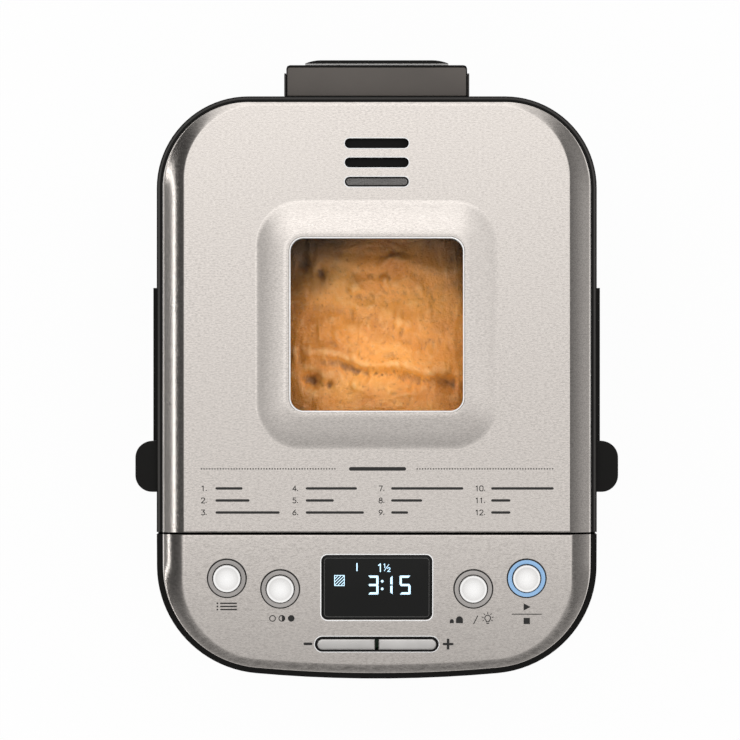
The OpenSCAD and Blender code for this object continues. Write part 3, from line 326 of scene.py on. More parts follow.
# Material of every CAD node
NODE_LOOKS = {
    STEEL_LID: ["lid_cover"],
    STEEL_PANEL: ["control_fascia"],
    brushed("steel_wrap", (0.80, 0.75, 0.705), (0.62, 0.58, 0.545), (0, 0, 1), 0.26):
        ["side_panels", "front_panel", "rear_panel"],
    BLACK: ["base_tray", "deck", "lid_frame", "lift_tabs", "carry_handles", "cord_gland"],
    TONGUE: ["hinge_bracket"],
    moulded("rubber", (0.030, 0.030, 0.030), 0.75, 800.0, 0.00008, 0.8 * MM): ["rubber_feet", "drive_belt"],
    moulded("silicone", (0.20, 0.20, 0.20), 0.6, 700.0): ["lid_seal", "window_gasket"],
    metal("zinc_screw", (0.66, 0.67, 0.68), 0.3, 600.0):
        ["base_screws", "deck_screws", "motor_screws", "lid_screws"],
    LENS_BLACK: ["display_lens", "display_module"],
    moulded("circuit_board", (0.03, 0.13, 0.055), 0.4, 500.0): ["control_board", "power_board"],
    moulded("switch_plastic", (0.05, 0.05, 0.05), 0.5): ["key_switches"],
    RING_GREY: ["button_rings"],
    RING_BLUE: ["start_ring"],
    CAP_WHITE: BUTTON_NODES,
    KEY_DARK: ["key_bezel"],
    KEY_SILVER: ["minus_key", "plus_key"],
    metal("zinc_steel", (0.55, 0.55, 0.54), 0.45, 120.0): ["chassis_plate", "motor_bracket"],
    metal("liner_steel", (0.52, 0.52, 0.51), 0.42, 300.0, (1, 1, 0.1)): ["chamber_liner", "heater_clips"],
    metal("lid_liner_metal", (0.58, 0.58, 0.57), 0.38, 300.0, (0.1, 1, 1)): ["lid_liner", "steam_mesh"],
    metal("element_sheath", (0.10, 0.095, 0.095), 0.55, 900.0): ["heater_element"],
    moulded("ceramic_white", (0.78, 0.75, 0.69), 0.3, 600.0):
        ["temperature_sensor", "thermal_fuse", "start_capacitor", "chamber_lamp"],
    window_glass("clear_glass"): ["window_glass", "inner_pane", "lamp_lens"],
    metal("bearing_bronze", (0.55, 0.40, 0.20), 0.35, 700.0): ["drive_bearing", "pan_bush"],
    metal("bright_steel", (0.72, 0.72, 0.72), 0.2, 900.0, (1, 1, 0.1)):
        ["drive_shaft", "motor_shaft", "paddle_shaft", "hinge_pins"],
    moulded("pulley_plastic", (0.70, 0.67, 0.58), 0.5): ["large_pulley", "motor_pulley"],
    metal("cast_alloy", (0.48, 0.49, 0.50), 0.5, 900.0): ["drive_dog", "pan_coupler"],
    metal("motor_steel", (0.42, 0.43, 0.44), 0.4, 500.0): ["motor"],
    moulded("non_stick", (0.050, 0.047, 0.044), 0.36, 1600.0, 0.00003, 0.8 * MM):
        ["bread_pan", "kneading_paddle"],
    metal("bail_wire", (0.50, 0.50, 0.49), 0.35, 500.0): ["pan_bail"],
    DOUGH: ["dough"],
}


def dress_nodes():
    for material, names in NODE_LOOKS.items():
        for name in names:
            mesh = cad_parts[name].data
            mesh.materials.clear()
            mesh.materials.append(material)


# ---------- mesh helpers ----------


def make_piece(name, bm, material, body, slot, smooth=40, extra=()):
    """Turns a bmesh into a piece that rides on a body; an edge sharper than `smooth` degrees stays crisp."""
    bmesh.ops.remove_doubles(bm, verts=bm.verts, dist=1e-7)
    bmesh.ops.recalc_face_normals(bm, faces=bm.faces)
    for edge in bm.edges:
        if len(edge.link_faces) == 2:
            edge.smooth = edge.calc_face_angle(0.0) < math.radians(smooth)
    for face in bm.faces:
        face.smooth = True
    mesh = bpy.data.meshes.new(name)
    bm.to_mesh(mesh)
    bm.free()
    piece = bpy.data.objects.new(name, mesh)
    bpy.context.scene.collection.objects.link(piece)
    for one in (material, *extra):
        mesh.materials.append(one)
    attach(piece, body)
    return piece


def angles(a, b, n):
    return [math.radians(a + (b - a) * i / n) for i in range(n + 1)]


def arc(cx, cy, r, a, b, n):
    return [(cx + r * math.cos(t), cy + r * math.sin(t)) for t in angles(a, b, n)]


def line(a, b, n):
    """Points from a towards b, b left out."""
    return [(a[0] + (b[0] - a[0]) * i / n, a[1] + (b[1] - a[1]) * i / n) for i in range(n)]


def box_points(x0, y0, x1, y1):
    return [(x0, y0), (x1, y0), (x1, y1), (x0, y1)]


def rounded_ring(w, d, r, cy=0.0, n=10, side=6):
    """Rounded rectangle, anticlockwise, the same count of points for any size."""
    x, y = w / 2 - r, d / 2 - r
    corners = [arc(x, cy + y, r, 0, 90, n), arc(-x, cy + y, r, 90, 180, n),
               arc(-x, cy - y, r, 180, 270, n), arc(x, cy - y, r, 270, 360, n)]
    points = []
    for k, corner in enumerate(corners):
        points += corner[:-1] + line(corner[-1], corners[(k + 1) % 4][0], side)
    return points


def circle_ring(r, n, cx=0.0, cy=0.0):
    turns = [2 * math.pi * i / n for i in range(n)]
    return [(cx + r * math.cos(t), cy + r * math.sin(t)) for t in turns]


def stadium_ring(length, width, cy=0.0, n=16, side=8):
    r = width / 2
    x = length / 2 - r
    right, left = arc(x, cy, r, -90, 90, n), arc(-x, cy, r, 90, 270, n)
    return right[:-1] + line(right[-1], left[0], side) + left[:-1] + line(left[-1], right[0], side)


def window_ring(grow):
    return rounded_ring(WINDOW_W + grow, WINDOW_W + grow, WINDOW_R + grow / 2, WINDOW_Y, n=16, side=14)


def slot_ring(i, grow):
    return stadium_ring(SLOT_L + grow, SLOT_W + grow, SLOT_Y - i * SLOT_PITCH)


def display_ring(grow):
    w, d, v = DISPLAY
    return rounded_ring(w + grow, d + grow, DISPLAY_R + grow / 2, -v)


def key_ring(grow):
    w, d, v = KEYS
    return stadium_ring(w + grow, d + grow, -v)


def add_ring(bm, points, z, place=LEVEL):
    """One closed loop of vertices; z is a number or a function of x, y."""
    return [bm.verts.new(place @ Vector((x, y, z(x, y) if callable(z) else z))) for x, y in points]


def bridge(bm, a, b):
    n = len(a)
    for i in range(n):
        bm.faces.new((a[i], a[(i + 1) % n], b[(i + 1) % n], b[i]))


def stack(bm, rings):
    for a, b in zip(rings, rings[1:]):
        bridge(bm, a, b)


def panel_rings(bm, outline, levels):
    """Rings over the panel from (inset, height) pairs in millimetres."""
    return [add_ring(bm, outline(inset * MM), z * MM, PANEL_FRAME) for inset, z in levels]


def strip(bm, paths):
    """Skins an open sheet through paths of points that run side by side."""
    rows = [[bm.verts.new(p) for p in path] for path in paths]
    for a, b in zip(rows, rows[1:]):
        for i in range(len(a) - 1):
            bm.faces.new((a[i], a[i + 1], b[i + 1], b[i]))


def bead(bm, points_at, out, r, z, rise, place=LEVEL):
    """Tube along an outline: `out` beyond it, r wide and `rise` high from its middle."""
    stack(bm, [add_ring(bm, points_at(2 * (out + r * math.cos(a))), z + rise * math.sin(a), place)
               for a in angles(0, 360, 8)])


def fill(bm, *loops):
    """Flat fill of an outer loop with the other loops as holes."""
    pairs = [(v, loop[(i + 1) % len(loop)]) for loop in loops for i, v in enumerate(loop)]
    edges = [bm.edges.get(pair) or bm.edges.new(pair) for pair in pairs]
    bmesh.ops.triangle_fill(bm, edges=edges, use_beauty=True, use_dissolve=False)


def capped(bm, rings):
    """Closed solid through the rings."""
    stack(bm, rings)
    fill(bm, rings[-1])
    fill(bm, rings[0])


def lathe(bm, profile, place, n):
    """Turns (radius, height) points about an axis; a radius of 0 closes to a point."""
    rings = [add_ring(bm, circle_ring(r, n) if r > 1e-9 else [(0, 0)], z, place) for r, z in profile]
    for a, b in zip(rings, rings[1:]):
        if len(a) == 1 or len(b) == 1:
            point, ring = (a[0], b) if len(a) == 1 else (b[0], a)
            for i in range(n):
                bm.faces.new((point, ring[i], ring[(i + 1) % n]))
        else:
            bridge(bm, a, b)


def rounded_profile(points, r, steps=4):
    """Rounds the corners of an open profile of (radius, height) points by r."""
    out = [points[0]]
    for a, b, c in zip(points, points[1:], points[2:]):
        pa, pb, pc = Vector(a), Vector(b), Vector(c)
        cut = min(r, (pa - pb).length / 2, (pc - pb).length / 2)
        p, q = pb + (pa - pb).normalized() * cut, pb + (pc - pb).normalized() * cut
        for i in range(steps + 1):
            t = i / steps
            out.append(tuple(p * (1 - t) ** 2 + pb * 2 * t * (1 - t) + q * t * t))
    return out + [points[-1]]


# ---------- steel covers ----------

# Slope in degrees of a shoulder, from its foot (0) to the fold (1)
LID_SLOPES = [(0.0, 65), (0.015, 58), (0.04, 42), (0.1, 39.5), (0.3, 38.5), (0.5, 36), (0.75, 31), (0.92, 25),
              (1.0, 20)]
PANEL_SLOPES = [(0.0, 65), (0.015, 58), (0.04, 42), (0.1, 39), (0.16, 38), (0.25, 36), (0.35, 33.5),
                (0.6, 27), (0.75, 22.5), (0.88, 19), (0.95, 10), (1.0, 3)]
SLOPE_STEPS = 26
FOOT_CROWDING = 1.6                  # how much closer together a shoulder's rings lie at its foot

ROLL = 0.9 * MM                      # radius of the rolled edge along the gap
GUARD = 0.15 * MM                    # width of the level band that keeps a bend's shading off the flat sheet
GAP_STEPS = 40                       # points of a cover's outline along the gap
TURN_STEPS = 28                      # and round each corner

# Raised frame from its foot to the flat lip: share of the way in, share of the height
MOUND = [(-GUARD / (18 * MM), 0.0), (0.0, 0.0), (0.03, 0.012), (0.07, 0.05), (0.12, 0.11), (0.2, 0.215),
         (0.3, 0.34), (0.4, 0.46), (0.5, 0.57), (0.6, 0.672), (0.7, 0.765), (0.8, 0.85), (0.9, 0.93),
         (1.0, 1.0), (1.03, 1.0)]
MOUND_FOOT = (145 * MM, 149 * MM, 27 * MM)      # width, depth and corner radius
MOUND_LIP = (109 * MM, 109 * MM, 11 * MM)


def shoulder_profile(slopes):
    """Points of a shoulder with the given slopes: share of its width, drop below the fold in widths."""
    climb, points = 0.0, []
    for i in range(SLOPE_STEPS + 1):
        t = (i / SLOPE_STEPS) ** FOOT_CROWDING
        for (t0, s0), (t1, s1) in zip(slopes, slopes[1:]):
            if t0 <= t <= t1:
                slope = math.tan(math.radians(s0 + (s1 - s0) * (t - t0) / (t1 - t0)))
        if points:
            climb += (slope + last_slope) / 2 * (t - points[-1][0])
        points.append((t, climb))
        last_slope = slope
    return [(t, climb - h) for t, h in points]


def roll_in(drop):
    """How far the rolled edge has turned in when its surface is `drop` below the top."""
    t = max(0.0, 1 - drop / ROLL)
    return ROLL * (1 - math.sqrt(max(0.0, 1 - t * t)))


def lid_ring(side, end, front):
    """The lid's outline, drawn in at the sides, at the rear and along the gap; the gap's points come last."""
    x, y = HALF_W - RIM_W - side, REAR_Y - RIM_W - end
    r = REAR_R - RIM_W - (side + end) / 2
    f = SPLIT_Y + HALF_GAP + front
    right = arc(x - r, y - r, r, 0, 90, TURN_STEPS)
    left = [(-x, y) for x, y in reversed(right)]
    return (line((x, f), right[0], 24) + right[:-1] + line(right[-1], left[0], 20) + left[:-1]
            + line(left[-1], (-x, f), 24) + line((-x, f), (x, f), GAP_STEPS))


def panel_ring(side, end, rear):
    """The panel's outline, drawn in at the sides, at the bowed front and along the gap."""
    x, big = HALF_W - RIM_W - side, BOW_R - RIM_W - end
    r = FRONT_R - RIM_W - (side + end) * CORNER_TURN
    bow_y = FRONT_Y + BOW_R
    cx = x - r
    cy = bow_y - math.sqrt((big - r) ** 2 - cx * cx)
    a = math.degrees(math.asin(cx / (big - r)))
    f = SPLIT_Y - HALF_GAP - rear
    left, right = arc(-cx, cy, r, 180, 270 - a, TURN_STEPS), arc(cx, cy, r, 270 + a, 360, TURN_STEPS)
    bow = arc(0, bow_y, big, 270 - a, 270 + a, 24)
    return (line((-x, f), left[0], 8) + left[:-1] + bow[:-1] + right[:-1] + line(right[-1], (x, f), 8)
            + line((x, f), (-x, f), GAP_STEPS))


def lid_top(x, y):
    return TOP_Z


def panel_top(x, y):
    return TOP_Z - (SPLIT_Y - y) * math.tan(TILT)


def build_cover(bm, ring, top, slopes, end):
    """Skirt, hem and shoulder of a cover: returns the loop at the fold."""
    outer, inner = ring(0, 0, 0), ring(SIDE_SHOULDER, end, 0)
    widths = []
    for i, (a, b) in enumerate(zip(outer, inner)):
        along = Vector(outer[(i + 1) % len(outer)]) - Vector(outer[i - 1])
        widths.append(abs(along.normalized().cross(Vector(b) - Vector(a))))
    widths[-GAP_STEPS:] = [SIDE_SHOULDER] * GAP_STEPS
    widths[0] = SIDE_SHOULDER
    narrowing = [max(0.0, (SIDE_SHOULDER - w) / (SIDE_SHOULDER - end)) for w in widths]
    widths = [w * (1 - (1 - END_SOFT) * share) for w, share in zip(widths, narrowing)]

    def hem_z(x, y):
        return top(x, y) - SHOULDER_H - SKIRT

    rings = [add_ring(bm, outer, hem_z)]
    for t, drop in shoulder_profile(slopes):
        points = ring(t * SIDE_SHOULDER, t * end, roll_in(drop * SIDE_SHOULDER))
        rings.append([bm.verts.new((x, y, top(x, y) - drop * w)) for (x, y), w in zip(points, widths)])
    rings.append(add_ring(bm, ring(SIDE_SHOULDER + GUARD, end + GUARD, ROLL + GUARD), top))
    stack(bm, rings)
    # The skirt's lower edge folds in, so the sheet shows its thickness
    bridge(bm, rings[0], add_ring(bm, ring(SHEET, SHEET, SHEET), hem_z))
    return rings[-1]


def turn_down(bm, points_at, r, steps, depth, z, place=LEVEL, first=0):
    """Rings of an edge that turns down by r into an opening, with a wall `depth` deep below."""
    rings = [add_ring(bm, points_at(2 * r * (1 - math.sin(a))), z - r * (1 - math.cos(a)), place)
             for a in angles(0, 90, steps)[first:]]
    return rings + [add_ring(bm, points_at(0), z - r - depth, place)]


def opening(bm, points_at, r, steps, depth, z, place=LEVEL):
    """Opening with a turned-down edge: returns the loop where it meets the flat sheet."""
    rings = [add_ring(bm, points_at(2 * (r + GUARD)), z, place)]
    stack(bm, rings + turn_down(bm, points_at, r, steps, depth, z, place))
    return rings[0]


def build_lid_cover():
    bm = bmesh.new()
    fold = build_cover(bm, lid_ring, lid_top, LID_SLOPES, LID_END)
    mound = [add_ring(bm, rounded_ring(*(foot + (lip - foot) * t for foot, lip in zip(MOUND_FOOT, MOUND_LIP)),
                                       WINDOW_Y, n=16, side=14), TOP_Z + MOUND_H * h) for t, h in MOUND]
    stack(bm, mound + turn_down(bm, window_ring, 0.7 * MM, 5, SHEET, TOP_Z + MOUND_H, first=1))
    slots = [opening(bm, partial(slot_ring, i), 0.6 * MM, 4, 1.1 * MM, TOP_Z) for i in range(3)]
    fill(bm, fold, mound[0], *slots)
    piece = make_piece("lid_cover_steel", bm, STEEL_LID, "lid", "brushed_cover", 22)
    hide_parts("lid_cover")


def button_hole(x, v, grow):
    return circle_ring(RING_R - 1.4 * MM + grow / 2, 64, x * MM, -v * MM)


def build_fascia():
    bm = bmesh.new()
    fold = build_cover(bm, panel_ring, panel_top, PANEL_SLOPES, PANEL_END)
    outlines = [partial(button_hole, x, v) for x, v in BUTTONS] + [display_ring, key_ring]
    fill(bm, fold, *[opening(bm, outline, 0.4 * MM, 3, 1.2 * MM, 0, PANEL_FRAME) for outline in outlines])
    piece = make_piece("control_fascia_steel", bm, STEEL_PANEL, "body", "brushed_panel", 22)
    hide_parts("control_fascia")


# ---------- buttons, keys and display ----------


def button_place(x, v):
    return PANEL_FRAME @ Matrix.Translation((x * MM, -v * MM, 0))


def build_rings(name, places, band, slot, node):
    """Button surrounds: a satin band that dips in the middle, with painted shade on the outer edge and in the
    well round the cap.
    """
    bm = bmesh.new()
    places = [button_place(x, v) for x, v in places]
    outer, inner = RING_R / MM, CAP_R / MM
    corners = [(outer - 1.6, -4), (outer - 1.6, 0.06), (outer, 0.06), (outer, 0.75), (outer - 1.1, 1.2),
               (outer - 2.0, 1.15), (inner + 1.3, 1.0), (inner + 0.55, 0.95), (inner + 0.36, -4.5)]
    profile = rounded_profile([(r * MM, z * MM) for r, z in corners], 0.3 * MM)
    for place in places:
        lathe(bm, profile, place, 96)
    bmesh.ops.recalc_face_normals(bm, faces=bm.faces)
    # Faces at the outer edge, in the gap below it and in the well take the painted shade
    for face in bm.faces:
        centre = face.calc_center_median()
        point = min((place.inverted() @ centre for place in places), key=lambda p: p.xy.length)
        outside = point.xy.length > RING_R - 0.85 * MM or point.z < 0.5 * MM
        face.material_index = 1 if outside else 0
    piece = make_piece(name, bm, band, "body", slot, 50, (RING_PAINTED_SHADE,))
    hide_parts(node)


def build_caps():
    low, high, dish = -6 * MM, 2.2 * MM, 0.85 * MM
    rim = 0.9                        # share of the cap's radius where the dish begins
    profile = rounded_profile([(0, low), (CAP_R, low), (CAP_R, high), (CAP_R * rim, high)], 0.5 * MM, 6)
    profile += [(CAP_R * k / 10, high - dish * (1 - (k / 10 / rim) ** 2)) for k in range(8, -1, -1)]
    for (x, v), node in zip(BUTTONS, BUTTON_NODES):
        bm = bmesh.new()
        lathe(bm, profile, button_place(x, v), 72)
        piece = make_piece(node + "_cap", bm, CAP_WHITE, node + "_cap", "button_white", 50)
        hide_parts(node)


def build_bezel():
    bm = bmesh.new()
    stack(bm, panel_rings(bm, lambda inset: key_ring(-2 * inset), [
        (0.1, -3.0), (0.1, 0.02), (-0.3, 0.04), (-0.3, 0.42), (-0.2, 0.60), (0.0, 0.66), (0.4, 0.66),
        (0.7, 0.55), (0.8, 0.3), (0.8, -3.0)]))
    piece = make_piece("key_bezel_moulding", bm, KEY_DARK, "body", "key_bezel_dark", 50)
    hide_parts("key_bezel")


def key_outline(sign, inset):
    """Half of the keys' stadium, with the straight edge at the divider."""
    w, d, v = KEYS
    r = d / 2 - 1.05 * MM - inset    # inside the bezel's wall
    near = 1.1 * MM + inset          # beside the divider
    end = arc(w / 2 - d / 2, -v, r, -90, 90, 16)
    points = end[:-1] + line(end[-1], (near, -v + r), 10) + line((near, -v + r), (near, -v - r), 4)
    points += line((near, -v - r), end[0], 10)
    return points if sign > 0 else [(-x, y) for x, y in reversed(points)]


def build_keys():
    levels = [(0, -4.8), (0, 0.75), (0.06, 1.02), (0.22, 1.22), (0.45, 1.33), (0.75, 1.38)]
    for sign, node in ((-1, "minus_key"), (1, "plus_key")):
        bm = bmesh.new()
        capped(bm, panel_rings(bm, partial(key_outline, sign), levels))
        piece = make_piece(node + "_bar", bm, KEY_SILVER, node + "_cap", "key_silver", 45)
        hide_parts(node)


def lens_outline(inset):
    w, d, v = DISPLAY
    shrink = 2 * (0.25 * MM + inset)        # a gap to the cut-out's edge first
    return rounded_ring(w - shrink, d - shrink, DISPLAY_R - 0.3 * MM - inset / 2, -v)


def build_display():
    bm = bmesh.new()
    capped(bm, panel_rings(bm, lens_outline, [(0, -2.4), (0, -0.45), (0.12, -0.2), (0.4, -0.06), (0.8, 0.0)]))
    piece = make_piece("display_window", bm, LENS_BLACK, "body", "display_black", 45)
    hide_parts("display_lens")


def build_display_trim():
    """Edges of the cut-outs for the display and the keys, pale as painted highlight, and the step inside the
    display's edge, grey as painted highlight.
    """
    for name, outline, out, r, z, rise, material, slot in (
            ("display_edge", display_ring, 0.55, 0.3, 0.0, 0.18, EDGE_PAINTED_HIGHLIGHT, "brushed_panel"),
            ("display_step", display_ring, -1.7, 0.2, 0.05, 0.12, STEP_PAINTED_HIGHLIGHT, "display_black"),
            ("key_edge", key_ring, 0.62, 0.26, 0.0, 0.16, EDGE_PAINTED_HIGHLIGHT, "brushed_panel")):
        bm = bmesh.new()
        bead(bm, outline, out * MM, r * MM, z * MM, rise * MM, PANEL_FRAME)
        make_piece(name, bm, material, "body", slot, 60)


# ---------- flat marks: printed legend, icons and display segments ----------


class Marks:
    """Thin raised marks drawn on one plane in millimetres: every shape is a closed prism `thick` high."""

    def __init__(self, place, lift, thick=0.05 * MM):
        self.bm = bmesh.new()
        self.place = place
        self.low, self.high = lift, lift + thick

    def shape(self, outer, *holes):
        top, bottom = [], []
        for points in (outer, *holes):
            points = [(x * MM, y * MM) for x, y in points]
            top.append(add_ring(self.bm, points, self.high, self.place))
            bottom.append(add_ring(self.bm, points, self.low, self.place))
            bridge(self.bm, bottom[-1], top[-1])
        fill(self.bm, *top)
        fill(self.bm, *bottom)

    def bar(self, x0, y0, x1, y1):
        self.shape(box_points(x0, y0, x1, y1))

    def pill(self, x0, x1, y, h):
        r = h / 2
        self.shape(arc(x1 - r, y, r, -90, 90, 6) + arc(x0 + r, y, r, 90, 270, 6))

    def disc(self, x, y, r, n=20):
        self.shape(circle_ring(r, n, x, y))

    def hoop(self, x, y, r, t):
        self.shape(circle_ring(r, 28, x, y), circle_ring(r - t, 28, x, y))

    def stroke(self, points, width):
        """A polyline as overlapping bars with round joints."""
        for (x0, y0), (x1, y1) in zip(points, points[1:]):
            length = math.hypot(x1 - x0, y1 - y0)
            nx, ny = -(y1 - y0) / length * width / 2, (x1 - x0) / length * width / 2
            self.shape([(x0 + nx, y0 + ny), (x0 - nx, y0 - ny), (x1 - nx, y1 - ny), (x1 + nx, y1 + ny)])
        for x, y in points:
            self.disc(x, y, width / 2, 10)

    def number(self, text, x, y, height, weight):
        """Digits with their lower left corner at x, y."""
        unit = height / 6
        for char in text:
            if char == ".":
                self.disc(x + weight * 0.6, y + weight * 0.6, weight * 0.68, 12)
                continue
            for path in DIGITS[char]:
                self.stroke([(x + p * unit, y + q * unit) for p, q in path], weight)
            x += height * DIGIT_PITCH

    def done(self, name, material, slot, body):
        return make_piece(name, self.bm, material, body, slot, 30)


# Strokes of the digits on a 4 by 6 grid of units, as polylines
DIGITS = {
    "0": [[(1, 0), (3, 0), (4, 1), (4, 5), (3, 6), (1, 6), (0, 5), (0, 1), (1, 0)]],
    "1": [[(0.8, 4.9), (2.2, 6), (2.2, 0)]],
    "2": [[(0, 4.8), (0.4, 5.6), (1.2, 6), (2.8, 6), (3.7, 5.4), (4, 4.5), (3.6, 3.5), (0, 0), (4, 0)]],
    "3": [[(0.2, 6), (3.8, 6), (2, 3.7), (3.2, 3.4), (4, 2.4), (3.9, 1.1), (3, 0.2), (1.4, 0), (0, 0.8)]],
    "4": [[(3, 0), (3, 6), (0, 1.8), (4.3, 1.8)]],
    "5": [[(3.7, 6), (0.7, 6), (0.4, 3.4), (2, 3.9), (3.5, 3.3), (4, 2), (3.4, 0.6), (1.9, 0), (0.2, 0.5)]],
    "6": [[(3.2, 6), (1.2, 4), (0.2, 2.6), (0.1, 1.5), (0.8, 0.4), (2, 0), (3.3, 0.4), (4, 1.6), (3.6, 3),
           (2.3, 3.6), (1, 3.3)]],
    "7": [[(0, 6), (4, 6), (1.5, 0)]],
    "8": [[(2, 3.2), (3.5, 3.9), (3.5, 5.4), (2.6, 6), (1.4, 6), (0.5, 5.4), (0.5, 3.9), (2, 3.2), (3.9, 2.3),
           (3.9, 0.8), (2.9, 0), (1.1, 0), (0.1, 0.8), (0.1, 2.3), (2, 3.2)]],
    "9": [[(0.8, 0), (2.8, 2), (3.8, 3.4), (3.9, 4.5), (3.2, 5.6), (2, 6), (0.7, 5.6), (0, 4.4), (0.4, 3),
           (1.7, 2.4), (3, 2.7)]],
}
DIGIT_PITCH = 0.86                   # from digit to digit, as a share of their height

VIEW_PIXELS = 740
PIXEL = 0.6                          # millimetres per pixel of the square view, at the lid
VIEW_X, VIEW_Y = 376.75, 388.0       # the body's middle in that view
BODY_Y = (FRONT_Y + REAR_Y) / 2 / MM

# Columns of the list in pixels: left edge of the numbers, left edge of the bars, right end of each row's bar
LEGEND_COLUMNS = [(202, 216, (243, 250, 280)), (293, 306, (357, 334, 364)), (379, 391, (463, 422, 408)),
                  (475, 488, (553, 510, 510))]
LEGEND_ROWS = (488, 500, 512)
RULE_ROW = 468.5
RULES = ((202, 335), (417, 552))
HEADING = (349, 406)
DOT_PITCH = 1.62


def lid_point(px, py):
    """Millimetres in plan of a point of the view."""
    return (px - VIEW_X) * PIXEL, (VIEW_Y - py) * PIXEL + BODY_Y


def panel_mm(px, py):
    """Panel coordinates in millimetres of a point of the view."""
    x, y = lid_point(px, py)
    return x, (y - SPLIT_Y / MM) / math.cos(TILT)


def build_legend():
    """Numbered list with plain bars for its entries, dotted rules above it and a plain bar between them."""
    marks, bars = Marks(LEVEL, TOP_Z - 0.01 * MM), Marks(LEVEL, TOP_Z - 0.01 * MM)
    number = 1
    for start, text_start, ends in LEGEND_COLUMNS:
        for row, end in zip(LEGEND_ROWS, ends):
            x, y = lid_point(start, row)
            marks.number(f"{number}.", x, y - 1.5, 3.0, 0.5)
            second_digit = 1.6 if number > 9 else 0
            bars.pill(lid_point(text_start, row)[0] + second_digit, lid_point(end, row)[0], y, 1.5)
            number += 1
    for first, last in RULES:
        (x, y), (end, _) = lid_point(first, RULE_ROW), lid_point(last, RULE_ROW)
        count = round((end - x) / DOT_PITCH)
        for i in range(count + 1):
            marks.disc(x + (end - x) * i / count, y, 0.45, 8)
    (x0, y), (x1, _) = (lid_point(px, RULE_ROW) for px in HEADING)
    bars.pill(x0, x1, y, 2.2)
    marks.done("legend_numbers", INK, "brushed_cover", "lid")
    bars.done("legend_bars", INK, "brushed_cover", "lid")


def build_icons():
    """Plain symbols where the panel has its labels: list, crust shade, loaf size and lamp, start and stop."""
    marks = Marks(PANEL_FRAME, -0.01 * MM)
    # Menu: a list of three lines
    x, y = panel_mm(227, 606)
    for row in (-1.9, 0, 1.9):
        marks.disc(x - 5.6, y + row, 0.55, 12)
        marks.pill(x - 4.0, x + 6.2, y + row, 0.85)
    # Crust shade: an empty, a half filled and a full disc
    x, y = panel_mm(282, 618)
    marks.hoop(x - 5.6, y, 2.0, 0.55)
    marks.hoop(x, y, 2.0, 0.55)
    marks.shape([(x, y - 2.0)] + arc(x, y, 2.0, -90, 90, 12)[1:])
    marks.disc(x + 5.6, y, 2.0, 28)
    # Loaf size: a small and a large loaf
    x, y = panel_mm(461, 619.5)
    for dx, w, h in ((-5.6, 2.4, 2.1), (-1.0, 4.2, 3.5)):
        left, right, foot = x + dx - w / 2, x + dx + w / 2, y - 2.0
        shoulder = foot + h * 0.6
        marks.shape([(left, foot), (right, foot), (right, shoulder)]
                    + arc(x + dx, shoulder, w / 2, 0, 180, 10)[1:-1] + [(left, shoulder)])
    # A slash between the loaf and the lamp
    x, y = panel_mm(475.5, 619.5)
    marks.stroke([(x - 1.2, y - 2.4), (x + 1.2, y + 2.4)], 0.55)
    # Lamp: a bulb with its base and rays
    x, y = panel_mm(487.5, 619)
    outside, inside = ([(x - foot, y - base), (x + foot, y - base), (x + neck, y - low)]
                       + arc(x, y + 0.8, r, -lean, 180 + lean, 20) + [(x - neck, y - low)]
                       for foot, base, neck, low, r, lean in ((1.0, 1.8, 1.15, 0.8, 2.0, 48),
                                                              (0.5, 1.2, 0.7, 0.6, 1.45, 50)))
    marks.shape(outside, inside)
    marks.pill(x - 0.95, x + 0.95, y - 2.5, 0.55)
    for a in angles(-30, 210, 6):
        marks.stroke([(x + r * math.cos(a), y + 0.8 + r * math.sin(a)) for r in (2.6, 3.5)], 0.42)
    # Start, a rule, and stop
    x, y = panel_mm(526.5, 606.5)
    marks.shape([(x - 1.9, y - 2.2), (x + 2.3, y), (x - 1.9, y + 2.2)])
    x, y = panel_mm(526.5, 613.8)
    marks.bar(x - 9.0, y - 0.26, x + 9.0, y + 0.26)
    x, y = panel_mm(526.5, 620.6)
    marks.bar(x - 1.9, y - 1.9, x + 1.9, y + 1.9)
    # Minus and plus beside the keys
    x, y = panel_mm(308, 643.6)
    marks.pill(x - 2.7, x + 2.7, y, 1.6)
    x, y = panel_mm(448, 643.8)
    marks.pill(x - 3.3, x + 3.3, y, 1.5)
    marks.bar(x - 0.75, y - 3.3, x + 0.75, y - 0.74)
    marks.bar(x - 0.75, y + 0.74, x + 0.75, y + 3.3)
    marks.done("panel_icons", INK, "brushed_panel", "body")


# The segments that each digit lights: top, upper right, lower right, bottom, lower left, upper left, middle
SEGMENTS = {"3": "1111001", "1": "0110000", "5": "1011011"}


def segment_digit(marks, char, x, y, w, h, t):
    """A seven-segment digit with mitred ends; x, y is its lower left corner, t the segments' width."""
    g, middle = t * 0.16, h / 2
    # Outer edge of each segment from a to b, and the way towards its inner edge
    sides = [((0, h), (w, h), 0, -1), ((w, h), (w, middle), -1, 0), ((w, middle), (w, 0), -1, 0),
             ((0, 0), (w, 0), 0, 1), ((0, 0), (0, middle), 1, 0), ((0, middle), (0, h), 1, 0)]
    for on, (a, b, ix, iy) in zip(SEGMENTS[char], sides):
        if on == "0":
            continue
        length = math.hypot(b[0] - a[0], b[1] - a[1])
        ux, uy = (b[0] - a[0]) / length, (b[1] - a[1]) / length
        start, end = (t * (0.45 if p[1] == middle else 0.95) for p in (a, b))
        marks.shape([(x + a[0] + ux * g, y + a[1] + uy * g), (x + b[0] - ux * g, y + b[1] - uy * g),
                     (x + b[0] - ux * end + ix * t, y + b[1] - uy * end + iy * t),
                     (x + a[0] + ux * start + ix * t, y + a[1] + uy * start + iy * t)])
    if SEGMENTS[char][6] == "1":
        tip, cut, m = g + 0.1, t * 0.6, y + middle
        marks.shape([(x + tip, m), (x + cut, m - t / 2), (x + w - cut, m - t / 2), (x + w - tip, m),
                     (x + w - cut, m + t / 2), (x + cut, m + t / 2)])


